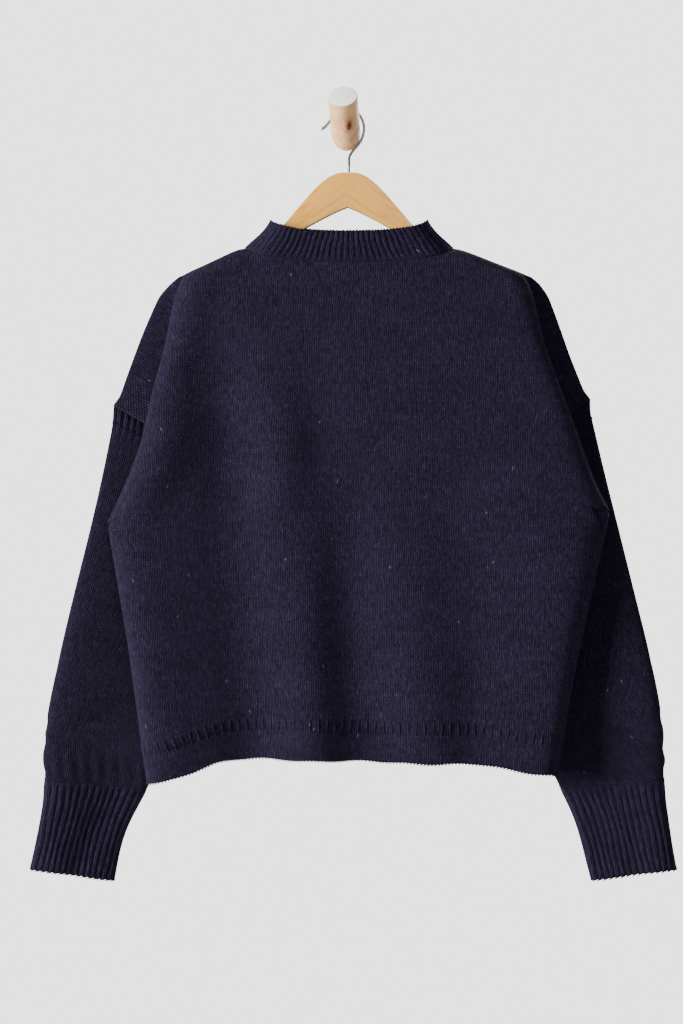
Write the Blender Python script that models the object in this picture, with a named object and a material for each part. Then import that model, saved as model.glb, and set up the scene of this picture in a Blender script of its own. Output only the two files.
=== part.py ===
"""Guernsey fisherman sweater hanging on a wooden hanger from a round wall peg.

Every knitted piece is a wall of even thickness grown from a grid of points. Sizes are
millimetres in the tables and functions, and metres in the finished meshes. The origin is
the centre of the peg's back face, +X points to the viewer's right, +Y goes into the wall,
and +Z is up.
"""

import math

import bpy
import numpy as np

MM = 0.001

# Knitted wall and the gaps between sewn pieces.
WALL = 2.5
SEAM = 0.3
JOIN = 0.6
RIDGE_GAP = 0.9

# Depth of the main layers in front of the wall (negative y is towards the room). Front and
# back lie together as a double layer from the side fold outwards: its middle is at WING_Y beside
# the shoulder, and half its spacing is LAYER.
RIDGE_Y = -18.0
FRONT_EDGE_Y = -59.0
BACK_EDGE_Y = -40.0
BACK_MIDDLE_Y = -8.0
SIDE_Y = -49.0
WING_Y = -12.5
LAYER = 2.4
RIDGE_TURN = 3.0

# Body lengths: the middle of the panels at the neck, the underarm and the welt seam.
UNDERARM_Z = -440.0
UNDERARM_DROOP = 22.0
WELT_HEIGHT = 34.0
FRONT_NECK_Z = -159.0
BACK_NECK_Z = -143.0
NECK_SHOULDER_Z = -137.0
NECK_TURN = 2.0

# The peg's back face is centred here in the tables' own measure; the finished part has its
# origin there.
PEG_PLACE = (-2.5, 0.0, 5.5)

# Gusset let into the top of each side seam, and the open vent beside each welt.
GUSSET_END = 1.18
VENT = 4.0

# Each side of the body, level by level: 0 is the shoulder, 1 the underarm, 2 the welt seam.
# edge is the fold that shows at the side, tuck the hidden fold behind it, and ridge the
# shoulder line running down to the armhole.
LEFT_SIDE = (
    # level, edge_x, edge_z, tuck_x, tuck_z, ridge_x, ridge_z
    (0.00, -186, -165.5, -196, -170.2, -204, -174),
    (0.05, -196, -187, -201, -183, -209, -177.5),
    (0.10, -201, -205, -206, -197, -215, -182),
    (0.25, -212, -250, -207, -225, -229, -196),
    (0.50, -233, -325, -207, -275, -248, -239),
    (0.70, -240, -372, -207, -315, -262, -276),
    (0.85, -258, -420, -207, -345, -272, -304),
    (1.00, -283, -472, -206, -376, -281, -331),
)
RIGHT_SIDE = (
    (0.00, 203, -166.5, 213, -170.7, 221, -174),
    (0.05, 212, -187, 217, -183, 226, -177.5),
    (0.10, 217, -205, 221, -197, 232, -182),
    (0.25, 229, -250, 223.2, -225, 243, -196),
    (0.50, 256, -322, 225, -275, 258, -236),
    (0.70, 275, -376, 225, -315, 271, -274),
    (0.85, 288, -420, 225, -345, 282, -299),
    (1.00, 308, -457, 224, -376, 291, -324),
)
LEFT_FLANK = (
    # level, edge_x, edge_z
    (1.00, -288, -472),
    (1.20, -277, -534),
    (1.45, -264, -607),
    (1.70, -254, -680),
    (2.00, -245, -748),
)
RIGHT_FLANK = (
    (1.00, 314, -457),
    (1.20, 302, -510),
    (1.45, 285, -586),
    (1.70, 269, -658),
    (2.00, 256, -738),
)
# Bottom edge of the front, from side to side, as height over the share of the half width.
HEM = (
    # share, z
    (-1.00, -784),
    (-0.88, -780),
    (-0.72, -765),
    (-0.60, -755),
    (-0.35, -753),
    (0.00, -756),
    (0.60, -759),
    (0.85, -769),
    (1.00, -773),
)
# Soft folds of the front: where each starts, where it meets the hem, how far it stands out
# there (positive is towards the room), and its half width.
FRONT_FOLDS = (
    # top_x, top_z, hem_x, height, half_width
    (-170, -260, -132, -15, 42),
    (-112, -250, -26, 20, 36),
    (-55, -360, 28, -11, 26),
    (45, -400, 92, 9, 30),
    (110, -460, 152, -7, 30),
    (205, -330, 226, 6, 28),
)

# Each sleeve, ring by ring from the armhole seam to the cuff seam. outer is the edge on the
# silhouette, tuck the fold behind the body, inner the underarm line.
LEFT_SLEEVE = (
    # outer_x, outer_z, tuck_x, tuck_z, inner_x, inner_z, wing_y, fold_y, half_depth
    (-281, -331, -206, -376, -281, -472, -12.5, -31.0, 2.4),
    (-295, -405, -197, -440, -259, -508, -12.8, -31.0, 3.4),
    (-311, -480, -193, -505, -234, -552, -13.2, -30.5, 4.4),
    (-330, -555, -193, -572, -210, -592, -14.0, -28.0, 6.5),
    (-348, -632, -200, -645, -201, -646, -16.5, -20.0, 11.0),
    (-362, -698, -214, -708, -215, -709, -17.5, -17.5, 12.0),
    (-369, -746, -229, -757, -230, -757, -17.0, -17.0, 11.0),
    (-365, -780, -244, -792, -245, -792, -16.0, -16.0, 9.0),
)
RIGHT_SLEEVE = (
    (291, -324, 224, -376, 306, -457, -12.5, -31.0, 2.4),
    (308, -400, 215, -440, 283, -500, -12.8, -31.0, 3.4),
    (326, -475, 211, -505, 255, -548, -13.2, -30.5, 4.4),
    (345, -552, 211, -572, 229, -592, -14.0, -28.0, 6.5),
    (365, -632, 218, -645, 219, -646, -16.5, -20.0, 11.0),
    (378, -698, 231, -708, 232, -709, -17.5, -17.5, 12.0),
    (383, -746, 245, -757, 246, -757, -17.0, -17.0, 11.0),
    (381, -780, 258, -792, 259, -792, -16.0, -16.0, 9.0),
)
LEFT_CUFF = (
    # outer_x, outer_z, inner_x, inner_z, front_y, back_y
    (-365, -780, -244, -793, -25.0, -6.5),
    (-366, -806, -256, -815, -25.0, -7.0),
    (-370, -832, -270, -840, -25.0, -7.5),
    (-375, -857, -279, -866, -25.0, -8.0),
    (-383, -890, -287, -901, -25.0, -8.0),
)
RIGHT_CUFF = (
    (381, -780, 258, -793, -25.0, -6.5),
    (382, -806, 270, -815, -25.0, -7.0),
    (387, -832, 281, -840, -25.0, -7.5),
    (391, -857, 289, -866, -25.0, -8.0),
    (397, -890, 299, -901, -25.0, -8.0),
)
# The standing neckband, from its seam to its edge.
NECKBAND = (
    # left_x, right_x, shoulder_z, front_z, back_z, front_y, back_y
    (-126, 129, -137, -159, -143, -50, -9.5),
    (-113, 116, -127, -147, -134, -49, -9.8),
    (-103, 106, -118, -134, -126, -48, -10.2),
    (-94, 97, -105, -121, -117.5, -46, -10.5),
)

# Hanger, hook and peg.
HANGER_Y = -19.0
HANGER_THICK = 10.0
WIRE_RADIUS = 1.5
PEG_RADIUS = 17.0
PEG_LENGTH = 57.5
PEG_BEVEL = 1.5
PEG_TILT = 38.0
PEG_LEAN = 3.5

NAVY = (0.021, 0.018, 0.040)
PINE = (0.60, 0.42, 0.24)
WOOD = (0.62, 0.44, 0.24)
STEEL = (0.45, 0.46, 0.47)


def clear_scene():
    for item in list(bpy.data.objects):
        bpy.data.objects.remove(item, do_unlink=True)


def material(name, colour, roughness, metallic=0.0):
    made = bpy.data.materials.new(name)
    made.use_nodes = True
    shader = made.node_tree.nodes["Principled BSDF"]
    shader.inputs["Base Color"].default_value = (*colour, 1.0)
    shader.inputs["Roughness"].default_value = roughness
    shader.inputs["Metallic"].default_value = metallic
    return made


def column(table, level, index):
    """One column of a table at a level between its rows."""
    rows = np.array(table, float)
    return float(np.interp(level, rows[:, 0], rows[:, index]))


def ease(value):
    """0 to 1 with soft ends."""
    share = min(max(value, 0.0), 1.0)
    return share * share * (3.0 - 2.0 * share)


def rounded(points, passes=1):
    """A row of points with its corners rounded and its two ends kept."""
    row = np.array(points, float)
    for _ in range(passes):
        inner = (row[:-2] + 4.0 * row[1:-1] + row[2:]) / 6.0
        row = np.vstack([row[:1], inner, row[-1:]])
    return row


def build_mesh(name, vertices, faces, surface):
    mesh = bpy.data.meshes.new(name)
    places = (np.array(vertices, float) - PEG_PLACE) * MM
    mesh.from_pydata(places.tolist(), [], [list(face) for face in faces])
    mesh.update()
    mesh.shade_smooth()
    mesh.set_sharp_from_angle(angle=math.radians(50))
    mesh.materials.append(surface)
    made = bpy.data.objects.new(name, mesh)
    bpy.context.collection.objects.link(made)
    return made


def surface_normals(points, quads):
    """Area-weighted normals of a grid's points."""
    normals = np.zeros_like(points)
    for quad in quads:
        a, b, c, d = (points[i] for i in quad)
        across = np.cross(c - a, d - b)
        for index in quad:
            normals[index] += across
    lengths = np.linalg.norm(normals, axis=1, keepdims=True)
    return normals / np.maximum(lengths, 1e-9)


def wall(name, points, quads, surface, flat=None):
    """A closed wall around a surface of quads that face outwards.

    flat names, for single points, the axes that their normal must not lean along, so that
    two pieces meet face to face at a seam.
    """
    points = np.array(points, float)
    normals = surface_normals(points, quads)
    for index, axes in (flat or {}).items():
        for axis in axes:
            normals[index, axis] = 0.0
        normals[index] /= np.linalg.norm(normals[index])
    used = sorted({i for quad in quads for i in quad})
    place = {old: new for new, old in enumerate(used)}
    outer = points[used] + normals[used] * WALL / 2.0
    inner = points[used] - normals[used] * WALL / 2.0
    count = len(used)
    faces = []
    edges = {}
    for quad in quads:
        ring = [place[i] for i in quad]
        faces.append(ring)
        faces.append([i + count for i in reversed(ring)])
        for a, b in zip(ring, ring[1:] + ring[:1]):
            edges[(a, b)] = True
    for a, b in edges:
        if (b, a) not in edges:
            faces.append([b, a, a + count, b + count])
    return build_mesh(name, np.vstack([outer, inner]), faces, surface)


def tube(name, rings, surface, flat=None):
    """An open-ended wall through rings of points that run anticlockwise seen from below."""
    count = len(rings[0])
    points = np.vstack(rings)
    quads = []
    for i in range(len(rings) - 1):
        for j in range(count):
            k = (j + 1) % count
            quads.append((i * count + j, (i + 1) * count + j, (i + 1) * count + k, i * count + k))
    return wall(name, points, quads, surface, flat)


# The body.

BODY_LEVELS = (0.0, 0.012, 0.045, 0.1, 0.17, 0.25, 0.36, 0.5, 0.64, 0.76, 0.88, 1.0)
FLANK_LEVELS = (1.0, 1.06, 1.12, 1.18, 1.32, 1.48, 1.66, 1.84, 2.0)
NECK_SHARES = (0.0, 0.24, 0.46, 0.66, 0.84, 0.96, 1.0)
SHOULDER_SHARES = (0.24, 0.48, 0.67, 0.82)
# Distance of a panel's last points from the side fold, above the gusset and below it.
TAIL_ABOVE = (66.0, 48.0, 34.0, 24.0)
TAIL_BELOW = (44.0, 22.0, 9.0, 0.0)


def neck_half_width(side):
    return abs(NECKBAND[0][0 if side < 0 else 1])


def middle_shares(side):
    """Places of a panel's points from its centre outwards, one of them at the neck's corner."""
    table = LEFT_SIDE if side < 0 else RIGHT_SIDE
    neck = neck_half_width(side) / abs(table[0][1])
    inside = [neck * share for share in NECK_SHARES]
    outside = [neck + (1.0 - neck) * share for share in SHOULDER_SHARES]
    return inside + outside


def neck_drop(share):
    """How far round the neck ring a point is, from 0 at the shoulder to 1 in the middle."""
    return max(0.0, 1.0 - share ** 2.6) ** 0.55


def top_point(side, share, front):
    """A point of a panel's top edge: the neckline, then the shoulder ridge."""
    table = LEFT_SIDE if side < 0 else RIGHT_SIDE
    edge_x = abs(table[0][1])
    edge_z = table[0][2]
    neck_x = neck_half_width(side)
    x = share * edge_x
    if x <= neck_x:
        drop = neck_drop(x / neck_x)
        deep_z = FRONT_NECK_Z if front else BACK_NECK_Z
        deep_y = NECKBAND[0][5] if front else NECKBAND[0][6]
        z = NECK_SHOULDER_Z + (deep_z - NECK_SHOULDER_Z) * drop - 1.5 * JOIN
        y = RIDGE_Y + (deep_y - RIDGE_Y) * min(1.0, drop * NECK_TURN)
        return side * x, y, z
    along = (x - neck_x) / (edge_x - neck_x)
    z = NECK_SHOULDER_Z - JOIN + (edge_z - NECK_SHOULDER_Z) * along
    return side * x, RIDGE_Y, z


def fold_height(x, z):
    """How far the soft folds move the front towards the room at a place."""
    total = 0.0
    for top_x, top_z, hem_x, height, half_width in FRONT_FOLDS:
        share = (top_z - z) / (top_z + 755.0)
        if share <= 0.0:
            continue
        middle = top_x + (hem_x - top_x) * share ** 0.8
        total += height * ease(share * 1.15) * math.exp(-(((x - middle) / half_width) ** 2))
    return total


def hem_z(share):
    return column(HEM, share, 1)


def middle_point(side, share, level, front):
    """A point of the open middle of the front or back panel, share 0 to 1 from the centre."""
    table = LEFT_SIDE if side < 0 else RIGHT_SIDE
    flank = LEFT_FLANK if side < 0 else RIGHT_FLANK
    under_z = UNDERARM_Z - UNDERARM_DROOP * share ** 2
    top_x, top_y, top_z = top_point(side, share, front)
    if level <= 1.0:
        edge_x = column(table, level, 1)
        edge_z = column(table, level, 2)
        z = top_z + (under_z - top_z) * level
        end_z = table[0][2] + (UNDERARM_Z - UNDERARM_DROOP - table[0][2]) * level
        z += (edge_z - end_z) * share ** 4
    else:
        edge_x = column(flank, level, 1)
        edge_z = column(flank, level, 2)
        welt_z = hem_z(side * share) + WELT_HEIGHT
        z = under_z + (welt_z - under_z) * (level - 1.0)
        end_z = UNDERARM_Z - UNDERARM_DROOP
        end_z += (hem_z(side) + WELT_HEIGHT - end_z) * (level - 1.0)
        z += (edge_z - end_z) * share ** 4
    x = share * edge_x
    below = top_z - z
    if front:
        full = front_depth(x, z, share, level)
        reach = 1.0 - math.exp(-max(below, 0.0) / RIDGE_TURN)
    else:
        full = back_depth(share, level)
        reach = 1.0 - math.exp(-max(below, 0.0) / RIDGE_TURN)
    return x, top_y + (full - top_y) * reach, z


def front_depth(x, z, share, level):
    """Depth of the front's face: nearly flat below the neck, fuller and folded lower down."""
    chest = -50.0 - 9.0 * ease(level)
    shoulder = -32.0
    over_arm = ease((share - 0.45) / 0.5) * (1.0 - ease(level / 0.75))
    flat = chest + (shoulder - chest) * over_arm
    edge = flat + (FRONT_EDGE_Y - flat) * ease((share - 0.75) / 0.25) * ease(level / 0.9)
    return edge - fold_height(x, z)


def back_depth(share, level):
    """Depth of the back: against the wall in the middle, in front of the sleeves at the sides."""
    forward = ease((share - 0.26) / 0.35) * ease((level - 0.08) / 0.25)
    return BACK_MIDDLE_Y + (BACK_EDGE_Y - BACK_MIDDLE_Y) * forward


def wing_middle(side, level):
    """Middle line of the double layer from the side fold, through the tuck, to the ridge.

    Gives the points and half the spacing of the two layers at each of them.
    """
    table = LEFT_SIDE if side < 0 else RIGHT_SIDE
    edge_x, edge_z, tuck_x, tuck_z, ridge_x, ridge_z = (
        column(table, level, index) for index in range(1, 7)
    )
    opened = ease(level / 0.2)
    reach = 1.0 - math.exp(-(table[0][2] - edge_z) / RIDGE_TURN)
    front_y = front_depth(edge_x, edge_z, 1.0, level)
    back_y = back_depth(1.0, level)
    first = RIDGE_Y + ((front_y + back_y) / 2.0 - RIDGE_Y) * reach
    spread = (back_y - front_y) / 2.0
    third = RIDGE_Y + (WING_Y - RIDGE_Y) * opened
    second = (first + third) / 2.0

    def place(share, start, end, y):
        x = start[0] * (1.0 - share) + end[0] * share
        z = start[1] * (1.0 - share) + end[1] * share
        return (x, y, z)

    edge = (edge_x, edge_z)
    tuck = (tuck_x, tuck_z)
    ridge = (ridge_x, ridge_z)
    points = [
        (edge_x, first * 0.8 + second * 0.2, edge_z),
        (edge_x, (first + second) / 2.0, edge_z),
        (edge_x, first * 0.2 + second * 0.8, edge_z),
        place(0.3, edge, tuck, second),
        place(0.6, edge, tuck, second),
        place(0.88, edge, tuck, second),
        (tuck_x, second * 0.7 + third * 0.3, tuck_z),
        (tuck_x, second * 0.3 + third * 0.7, tuck_z),
        place(0.15, tuck, ridge, third),
        place(0.45, tuck, ridge, third),
        place(0.75, tuck, ridge, third),
        place(0.95, tuck, ridge, third),
        place(1.0, tuck, ridge, third),
    ]
    halves = [spread * 0.8 + LAYER * 0.2, (spread + LAYER) / 2.0, LAYER * 1.2]
    halves += [LAYER] * 8 + [LAYER * 0.85]
    halves = [RIDGE_GAP + (half - RIDGE_GAP) * reach for half in halves]
    return points, halves + [RIDGE_GAP]


def offset_row(side, middle, halves, front):
    """A row moved sideways from its middle line, towards the room for the front layer."""
    along = np.gradient(middle[:, :2], axis=0)
    along /= np.maximum(np.linalg.norm(along, axis=1, keepdims=True), 1e-9)
    outward = side * np.stack([along[:, 1], -along[:, 0]], axis=1)
    sign = 1.0 if front else -1.0
    row = middle.copy()
    row[:, :2] += sign * outward * np.array(halves)[:, None]
    return row


def half_row(side, level, front):
    """One row of a panel from its centre to its end on one side."""
    shares = middle_shares(side)
    own = [middle_point(side, share, level, front) for share in shares]
    if level <= 1.0:
        other = [middle_point(side, share, level, not front) for share in shares]
        near, far = (own, other) if front else (other, own)
        middle = [(a[0], (a[1] + b[1]) / 2.0, c[2]) for a, b, c in zip(near, far, own)]
        halves = [max(RIDGE_GAP, (b[1] - a[1]) / 2.0) for a, b in zip(near, far)]
        points, spread = wing_middle(side, level)
        row = offset_row(side, rounded(middle + points), halves + spread, front)
        row[0, 0] = 0.0
        return row
    flank = LEFT_FLANK if side < 0 else RIGHT_FLANK
    edge_x = column(flank, level, 1)
    edge_z = column(flank, level, 2)
    if front:
        face_y = front_depth(edge_x, edge_z, 1.0, level)
        end_y = SIDE_Y - SEAM / 2.0
    else:
        face_y = back_depth(1.0, level)
        end_y = SIDE_Y + SEAM / 2.0
    points = own + [(edge_x, (face_y + end_y) / 2.0, edge_z), (edge_x, end_y, edge_z)]
    row = rounded(points)
    tail = tail_distances(level)
    return spaced_tail(row, tail)


def tail_distances(level):
    """Distances of the last points from the side fold at a level below the underarm."""
    share = min(1.0, (level - 1.0) / (GUSSET_END - 1.0))
    return [a + (b - a) * share for a, b in zip(TAIL_ABOVE, TAIL_BELOW)]


def spaced_tail(row, tail):
    """A row whose last points stand at given distances from the row's end."""
    steps = np.linalg.norm(np.diff(row, axis=0), axis=1)
    along = np.concatenate([[0.0], np.cumsum(steps)])
    kept = len(row) - 2 - len(tail)
    target = list(along[:kept]) + [along[-1] - distance for distance in tail]
    return np.stack([np.interp(target, along, row[:, k]) for k in range(3)], axis=1)


def grid_quads(first, width, rows):
    """Quads of a block of rows whose points run on from an index."""
    quads = []
    for i in range(rows - 1):
        for j in range(width - 1):
            a = first + i * width + j
            quads.append((a, a + width, a + width + 1, a + 1))
    return quads


def whole_row(left, right):
    return np.vstack([left[::-1], right[1:]])


def panel(name, front, surface):
    """Front or back of the body in one piece, tucked behind itself at both armholes."""
    upper = [
        whole_row(half_row(-1, level, front), half_row(1, level, front))
        for level in BODY_LEVELS
    ]
    lower = [
        whole_row(half_row(-1, level, front), half_row(1, level, front))
        for level in FLANK_LEVELS[1:]
    ]
    width = len(upper[0])
    narrow = len(lower[0])
    inset = (width - narrow) // 2
    base = len(upper) * width
    join = base - width + inset
    quads = grid_quads(0, width, len(upper)) + grid_quads(base, narrow, len(lower))
    for j in range(narrow - 1):
        quads.append((join + j, base + j, base + j + 1, join + j + 1))
    flat = {}
    wings = inset + len(SHOULDER_SHARES)
    for j in range(width):
        flat[j] = (1,) if j < wings or j >= width - wings else (2,)
    for i in range(1, len(upper)):
        flat[i * width] = (1,)
        flat[(i + 1) * width - 1] = (1,)
    for i, level in enumerate(FLANK_LEVELS[1:]):
        if level >= GUSSET_END:
            flat[base + i * narrow] = (1,)
            flat[base + (i + 1) * narrow - 1] = (1,)
    last = base + (len(lower) - 1) * narrow
    for j in range(narrow):
        flat[last + j] = (2,) + flat.get(last + j, ())
    if not front:
        quads = [tuple(reversed(quad)) for quad in quads]
    return wall(name, np.vstack(upper + lower), quads, surface, flat)


def welt(name, front, surface):
    """The plain band below a panel, open at the sides and a little narrower at its edge."""
    rows = []
    for share in (JOIN / WELT_HEIGHT, 0.4, 0.8, 1.0):
        halves = []
        for side in (-1, 1):
            half = half_row(side, 2.0, front)
            half[:, 2] -= WELT_HEIGHT * share
            half[:, 0] -= side * 6.0 * share * (np.abs(half[:, 0]) / 250.0) ** 6
            half[-1, 1] += -VENT / 2.0 if front else VENT / 2.0
            halves.append(half)
        rows.append(whole_row(*halves))
    count = len(rows[0])
    quads = grid_quads(0, count, len(rows))
    if not front:
        quads = [tuple(reversed(quad)) for quad in quads]
    flat = {j: (2,) for j in range(count)}
    return wall(name, np.vstack(rows), quads, surface, flat)


def uncut_row(side, level, front):
    """A row below the underarm with its end still at the side seam."""
    flank = LEFT_FLANK if side < 0 else RIGHT_FLANK
    edge_x = column(flank, level, 1)
    edge_z = column(flank, level, 2)
    face_y = front_depth(edge_x, edge_z, 1.0, level) if front else back_depth(1.0, level)
    points = [middle_point(side, share, level, front) for share in middle_shares(side)]
    points += [(edge_x, (face_y + SIDE_Y) / 2.0, edge_z), (edge_x, SIDE_Y, edge_z)]
    return rounded(points)


def end_part(row, distance, count):
    """Evenly spaced points over the last stretch of a row."""
    steps = np.linalg.norm(np.diff(row, axis=0), axis=1)
    along = np.concatenate([[0.0], np.cumsum(steps)])
    target = np.linspace(along[-1] - distance, along[-1], count)
    return np.stack([np.interp(target, along, row[:, k]) for k in range(3)], axis=1)


def gusset(name, side, surface):
    """The triangle let in at the underarm, wrapped round the side fold."""
    rows = []
    for share in (0.0, 0.25, 0.5, 0.72, 0.88):
        level = 1.0001 + (GUSSET_END - 1.0) * share
        width = tail_distances(level)[-1] - 2.0 * JOIN
        front = end_part(uncut_row(side, level, True), width, 5)
        back = end_part(uncut_row(side, level, False), width, 5)[::-1]
        row = rounded(np.vstack([front, back[1:]]))
        row[:, 2] -= 5.0 * JOIN * (1.0 - share) ** 2
        rows.append(row)
    quads = grid_quads(0, len(rows[0]), len(rows))
    if side < 0:
        quads = [tuple(reversed(quad)) for quad in quads]
    return wall(name, np.vstack(rows), quads, surface)


# Sleeves, cuffs and neckband.


SLEEVE_SHARES = (0.0, 0.02, 0.07, 0.18, 0.36, 0.56, 0.76, 0.91)
FOLD_SHARES = (0.1, 0.4, 0.7, 0.93, 0.98, 1.0)


def sleeve_ring(side, row):
    """One ring of a sleeve: a double layer, folded back on itself where the tuck is open."""
    outer_x, outer_z, tuck_x, tuck_z, inner_x, inner_z, wing_y, fold_y, half_depth = row
    points = []
    for share in SLEEVE_SHARES:
        x = outer_x + (tuck_x - outer_x) * share
        points.append((x, wing_y, outer_z + (tuck_z - outer_z) * share))
    points.append((tuck_x, wing_y * 0.7 + fold_y * 0.3, tuck_z))
    points.append((tuck_x, wing_y * 0.3 + fold_y * 0.7, tuck_z))
    for share in FOLD_SHARES:
        x = tuck_x + (inner_x - tuck_x) * share
        points.append((x, fold_y, tuck_z + (inner_z - tuck_z) * share))
    middle = rounded(points)
    middle[-2] = middle[-1] * 0.5 + middle[-3] * 0.5
    folded = min(1.0, abs(inner_x - tuck_x) / 15.0)
    tuck_half = half_depth * 0.75 + (LAYER - half_depth * 0.75) * folded
    halves = [0.0, 0.62, 0.9, 1.0, 1.0, 1.0, 1.0, 0.9]
    halves = [half_depth * share for share in halves]
    halves += [tuck_half, tuck_half * (0.9 + 0.1 * folded)]
    end_shares = (0.85, 0.75, 0.65, 0.55, 0.4, 0.0)
    flat_shares = (1.0, 1.0, 1.0, 0.9, 0.62, 0.0)
    for end_share, flat_share in zip(end_shares, flat_shares):
        halves.append(tuck_half * (end_share + (flat_share - end_share) * folded))
    front = offset_row(-side, middle, halves, True)
    back = offset_row(-side, middle, halves, False)
    ring = np.vstack([front, back[-2:0:-1]])
    return ring if side < 0 else ring[::-1]


def sleeve(name, side, table, surface):
    rings = [sleeve_ring(side, row) for row in table]
    rings[0][:, 2] -= 3.0 * JOIN
    rings[-1][:, 2] += JOIN
    return tube(name, rings, surface)


def oval_ring(left, right, front_y, back_y, count, squareness=0.62):
    """A flattened ring between two edge points given as (x, z)."""
    middle_y = (front_y + back_y) / 2.0
    points = []
    for i in range(count):
        angle = 2.0 * math.pi * i / count
        across = math.cos(angle)
        deep = math.sin(angle)
        share = 0.5 - 0.5 * math.copysign(abs(across) ** squareness, across)
        x = left[0] + (right[0] - left[0]) * share
        z = left[1] + (right[1] - left[1]) * share
        half = (middle_y - front_y) if deep > 0.0 else (back_y - middle_y)
        y = middle_y - math.copysign(abs(deep) ** squareness, deep) * half
        points.append((x, y, z))
    return np.array(points)


def cuff(name, side, table, surface):
    rings = []
    for outer_x, outer_z, inner_x, inner_z, front_y, back_y in table:
        outer = (outer_x, outer_z)
        inner = (inner_x, inner_z)
        left, right = (outer, inner) if side < 0 else (inner, outer)
        rings.append(oval_ring(left, right, front_y, back_y, 24))
    return tube(name, rings, surface)


def neck_ring(row):
    """One ring of the neckband: low in front, higher behind, highest over the shoulders."""
    left_x, right_x, shoulder_z, front_z, back_z, front_y, back_y = row

    def place(half_x, share, deep_z, deep_y):
        drop = neck_drop(share)
        y = RIDGE_Y + (deep_y - RIDGE_Y) * min(1.0, drop * NECK_TURN)
        return (half_x * share, y, shoulder_z + (deep_z - shoulder_z) * drop)

    down = NECK_SHARES[::-1]
    front = [place(left_x, share, front_z, front_y) for share in down]
    front += [place(right_x, share, front_z, front_y) for share in NECK_SHARES[1:]]
    back = [place(right_x, share, back_z, back_y) for share in down[1:]]
    back += [place(left_x, share, back_z, back_y) for share in NECK_SHARES[1:-1]]
    return np.array(front + back)


def neckband(name, surface):
    rings = [neck_ring(row) for row in reversed(NECKBAND)]
    base = (len(rings) - 1) * len(rings[0])
    flat = {base + j: (2,) for j in range(len(rings[0]))}
    return tube(name, rings, surface, flat)


# Hanger, hook and peg.

HANGER_EDGE = (
    # x, z along the upper edge from the middle to a tip, then back along the lower edge
    (0, -47),
    (11, -47.8),
    (21, -51.5),
    (31, -58.5),
    (42, -69),
    (60, -89.5),
    (74, -106),
    (84, -117),
    (95, -127.5),
    (110, -138),
    (128, -148.5),
    (160, -165),
    (182, -176),
    (187, -180),
    (190, -185),
    (188, -191),
    (181, -192.5),
    (120, -156),
    (58, -118.5),
    (20, -98),
    (0, -89),
)


def hanger_body(name, surface):
    """The contoured wooden board of the hanger, with rounded edges."""
    right = list(HANGER_EDGE)
    left = [(-x, z) for x, z in right[1:-1]][::-1]
    outline = right + left
    bevel = 3.0
    half = HANGER_THICK / 2.0
    front_y = HANGER_Y - half
    mesh = bpy.data.meshes.new(name)
    places = [(x, front_y, z) for x, z in outline]
    places += [(x, front_y + HANGER_THICK, z) for x, z in outline]
    count = len(outline)
    faces = [list(range(count))[::-1], list(range(count, 2 * count))]
    for i in range(count):
        j = (i + 1) % count
        faces.append([i, j, j + count, i + count])
    mesh.from_pydata(((np.array(places) - PEG_PLACE) * MM).tolist(), [], faces)
    mesh.validate()
    mesh.materials.append(surface)
    made = bpy.data.objects.new(name, mesh)
    bpy.context.collection.objects.link(made)
    edge = made.modifiers.new("rounded_edges", "BEVEL")
    edge.width = bevel * MM
    edge.segments = 2
    edge.limit_method = "ANGLE"
    edge.angle_limit = math.radians(60)
    mesh.shade_smooth()
    mesh.set_sharp_from_angle(angle=math.radians(50))
    return made


HOOK_ROUTE = (
    # x, y, z of the wire from its foot in the hanger to its tip
    (1, -19, -46.4),
    (1.5, -17, -36),
    (1.8, -14.5, -28),
    (5.0, -12, -20.5),
    (11, -9.5, -13),
    (16, -7, -5.5),
    (19.2, -5.5, 3.5),
    (19.6, -5, 13),
    (16.4, -5, 22.5),
    (9.5, -5, 30.5),
    (0, -5, 33.9),
    (-9.5, -5, 32.4),
    (-17.4, -5, 26),
    (-22, -5, 18),
    (-26.4, -5, 12.6),
    (-31.2, -5, 8.8),
)


def smooth_route(points, steps):
    """Points on a rounded curve through a route's own points."""
    row = np.array(points, float)
    ends = np.vstack([2 * row[:1] - row[1:2], row, 2 * row[-1:] - row[-2:-1]])
    made = []
    for i in range(1, len(ends) - 2):
        a, b, c, d = ends[i - 1], ends[i], ends[i + 1], ends[i + 2]
        for step in range(steps):
            t = step / steps
            made.append(
                0.5 * ((2 * b) + (c - a) * t + (2 * a - 5 * b + 4 * c - d) * t * t
                       + (3 * b - a - 3 * c + d) * t ** 3)
            )
    made.append(row[-1])
    return np.array(made)


def hanger_hook(name, surface):
    """The bent wire, standing on the hanger's top and resting over the peg."""
    route = smooth_route(HOOK_ROUTE, 3)
    curve = bpy.data.curves.new(name, "CURVE")
    curve.dimensions = "3D"
    spline = curve.splines.new("POLY")
    spline.points.add(len(route) - 1)
    for point, place in zip(spline.points, (route - PEG_PLACE) * MM):
        point.co = (*place, 1.0)
    curve.bevel_depth = WIRE_RADIUS * MM
    curve.bevel_resolution = 2
    curve.use_fill_caps = True
    curve.materials.append(surface)
    made = bpy.data.objects.new(name, curve)
    bpy.context.collection.objects.link(made)
    return made


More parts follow.
